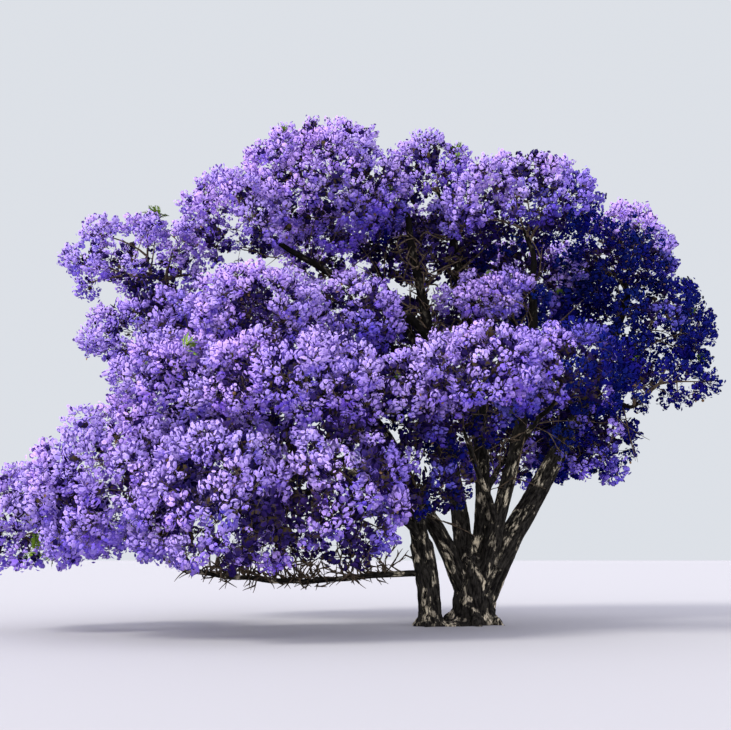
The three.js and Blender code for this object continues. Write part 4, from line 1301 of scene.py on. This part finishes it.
def set_stage(settings):
    """A plain pale floor, a soft key light from the upper left, a plain backdrop, and the camera"""
    scene = bpy.context.scene
    mesh = bpy.data.meshes.new("floor")
    far = 600.0
    mesh.from_pydata([(-far, -far, 0), (far, -far, 0), (far, far, 0), (-far, far, 0)], [], [(0, 1, 2, 3)])
    nodes, _ = new_material("floor", settings.floor_colour)
    mesh.materials.append(finish_material(nodes, (*settings.floor_colour, 1), 0.9, 0.5))
    floor = put_in_scene("floor", mesh)

    set_lamp("key", settings.sun_strength, settings.sun_softness, (0.72, 0.38, -0.64), (1.0, 0.975, 0.96))
    set_lamp("low", settings.low_strength, radians(25), (-0.05, 0.99, -0.10))

    world = bpy.data.worlds.new("studio")
    world.use_nodes = True
    nodes = Nodes(world.node_tree)
    seen = nodes.add("ShaderNodeBackground", {"Color": (*settings.backdrop, 1), "Strength": 1.0})
    fill = nodes.add("ShaderNodeBackground", {"Color": (0.84, 0.83, 1.0, 1), "Strength": settings.fill_strength})
    both = nodes.add("ShaderNodeMixShader", {
        "Fac": nodes.add("ShaderNodeLightPath").outputs["Is Camera Ray"], 1: fill, 2: seen})
    nodes.add("ShaderNodeOutputWorld", {"Surface": both})
    scene.world = world
    scene.view_settings.view_transform = "Standard"

    lens = bpy.data.cameras.new("camera")
    lens.sensor_width = 36.0
    lens.lens = FOCAL_LENGTH / PHOTO_WIDTH * lens.sensor_width
    lens.clip_end = 2000
    camera = put_in_scene("camera", lens)
    camera.location = CAMERA_PLACE
    camera.rotation_euler = (radians(90 + CAMERA_TILT), 0, 0)
    scene.camera = camera


class JACARANDA_OT_stage(bpy.types.Operator):
    """Set the floor, the light, the backdrop and the camera"""
    bl_idname = "jacaranda.stage"
    bl_label = "Stage"

    def execute(self, context):
        set_stage(context.scene.jacaranda_stage)
        return {"FINISHED"}


class JACARANDA_OT_bark(bpy.types.Operator):
    """Grow the trunk, the stems and the boughs"""
    bl_idname = "jacaranda.bark"
    bl_label = "Bark"

    def execute(self, context):
        material = bark_material(context.scene.jacaranda_wood)
        grow_trunk(context.scene.jacaranda_wood, material)
        grow_upper_bark(material)
        return {"FINISHED"}


class JACARANDA_OT_twigs(bpy.types.Operator):
    """Grow the twigs, the branchlets and the panicles' stalks"""
    bl_idname = "jacaranda.twigs"
    bl_label = "Twigs"

    def execute(self, context):
        grow_twigs(context.scene.jacaranda_wood, context.scene.jacaranda_blossom)
        return {"FINISHED"}


class JACARANDA_OT_blossom(bpy.types.Operator):
    """Open the blossom on every spray"""
    bl_idname = "jacaranda.blossom"
    bl_label = "Blossom"

    def execute(self, context):
        open_blossom(context.scene.jacaranda_blossom)
        return {"FINISHED"}


class JACARANDA_OT_leaves(bpy.types.Operator):
    """Open the young leaves and hang the seed pods"""
    bl_idname = "jacaranda.leaves"
    bl_label = "Leaves and pods"

    def execute(self, context):
        grow_leaves(context.scene.jacaranda_leaves, context.scene.jacaranda_blossom)
        return {"FINISHED"}


class JACARANDA_PT_panel(bpy.types.Panel):
    """The tree's sizes, colours and steps"""
    bl_label = "Jacaranda"
    bl_idname = "JACARANDA_PT_panel"
    bl_space_type = "VIEW_3D"
    bl_region_type = "UI"
    bl_category = "Jacaranda"

    def draw(self, context):
        for name, group in GROUPS.items():
            box = self.layout.box()
            for label in group.__annotations__:
                box.prop(getattr(context.scene, name), label)
        for step in STEPS:
            self.layout.operator(step.bl_idname)


GROUPS = {
    "jacaranda_blossom": JacarandaBlossom,
    "jacaranda_wood": JacarandaWood,
    "jacaranda_leaves": JacarandaLeaves,
    "jacaranda_stage": JacarandaStage,
}
STEPS = (JACARANDA_OT_stage, JACARANDA_OT_bark, JACARANDA_OT_twigs, JACARANDA_OT_blossom, JACARANDA_OT_leaves)


def register():
    for cls in (*GROUPS.values(), *STEPS, JACARANDA_PT_panel):
        bpy.utils.register_class(cls)
    for name, group in GROUPS.items():
        setattr(bpy.types.Scene, name, bpy.props.PointerProperty(type=group))


def unregister():
    for name in GROUPS:
        delattr(bpy.types.Scene, name)
    for cls in (JACARANDA_PT_panel, *STEPS, *GROUPS.values()):
        bpy.utils.unregister_class(cls)


def main():
    register()
    bpy.ops.jacaranda.stage()
    bpy.ops.jacaranda.bark()
    bpy.ops.jacaranda.twigs()
    bpy.ops.jacaranda.blossom()
    bpy.ops.jacaranda.leaves()


if __name__ == "__main__":
    main()
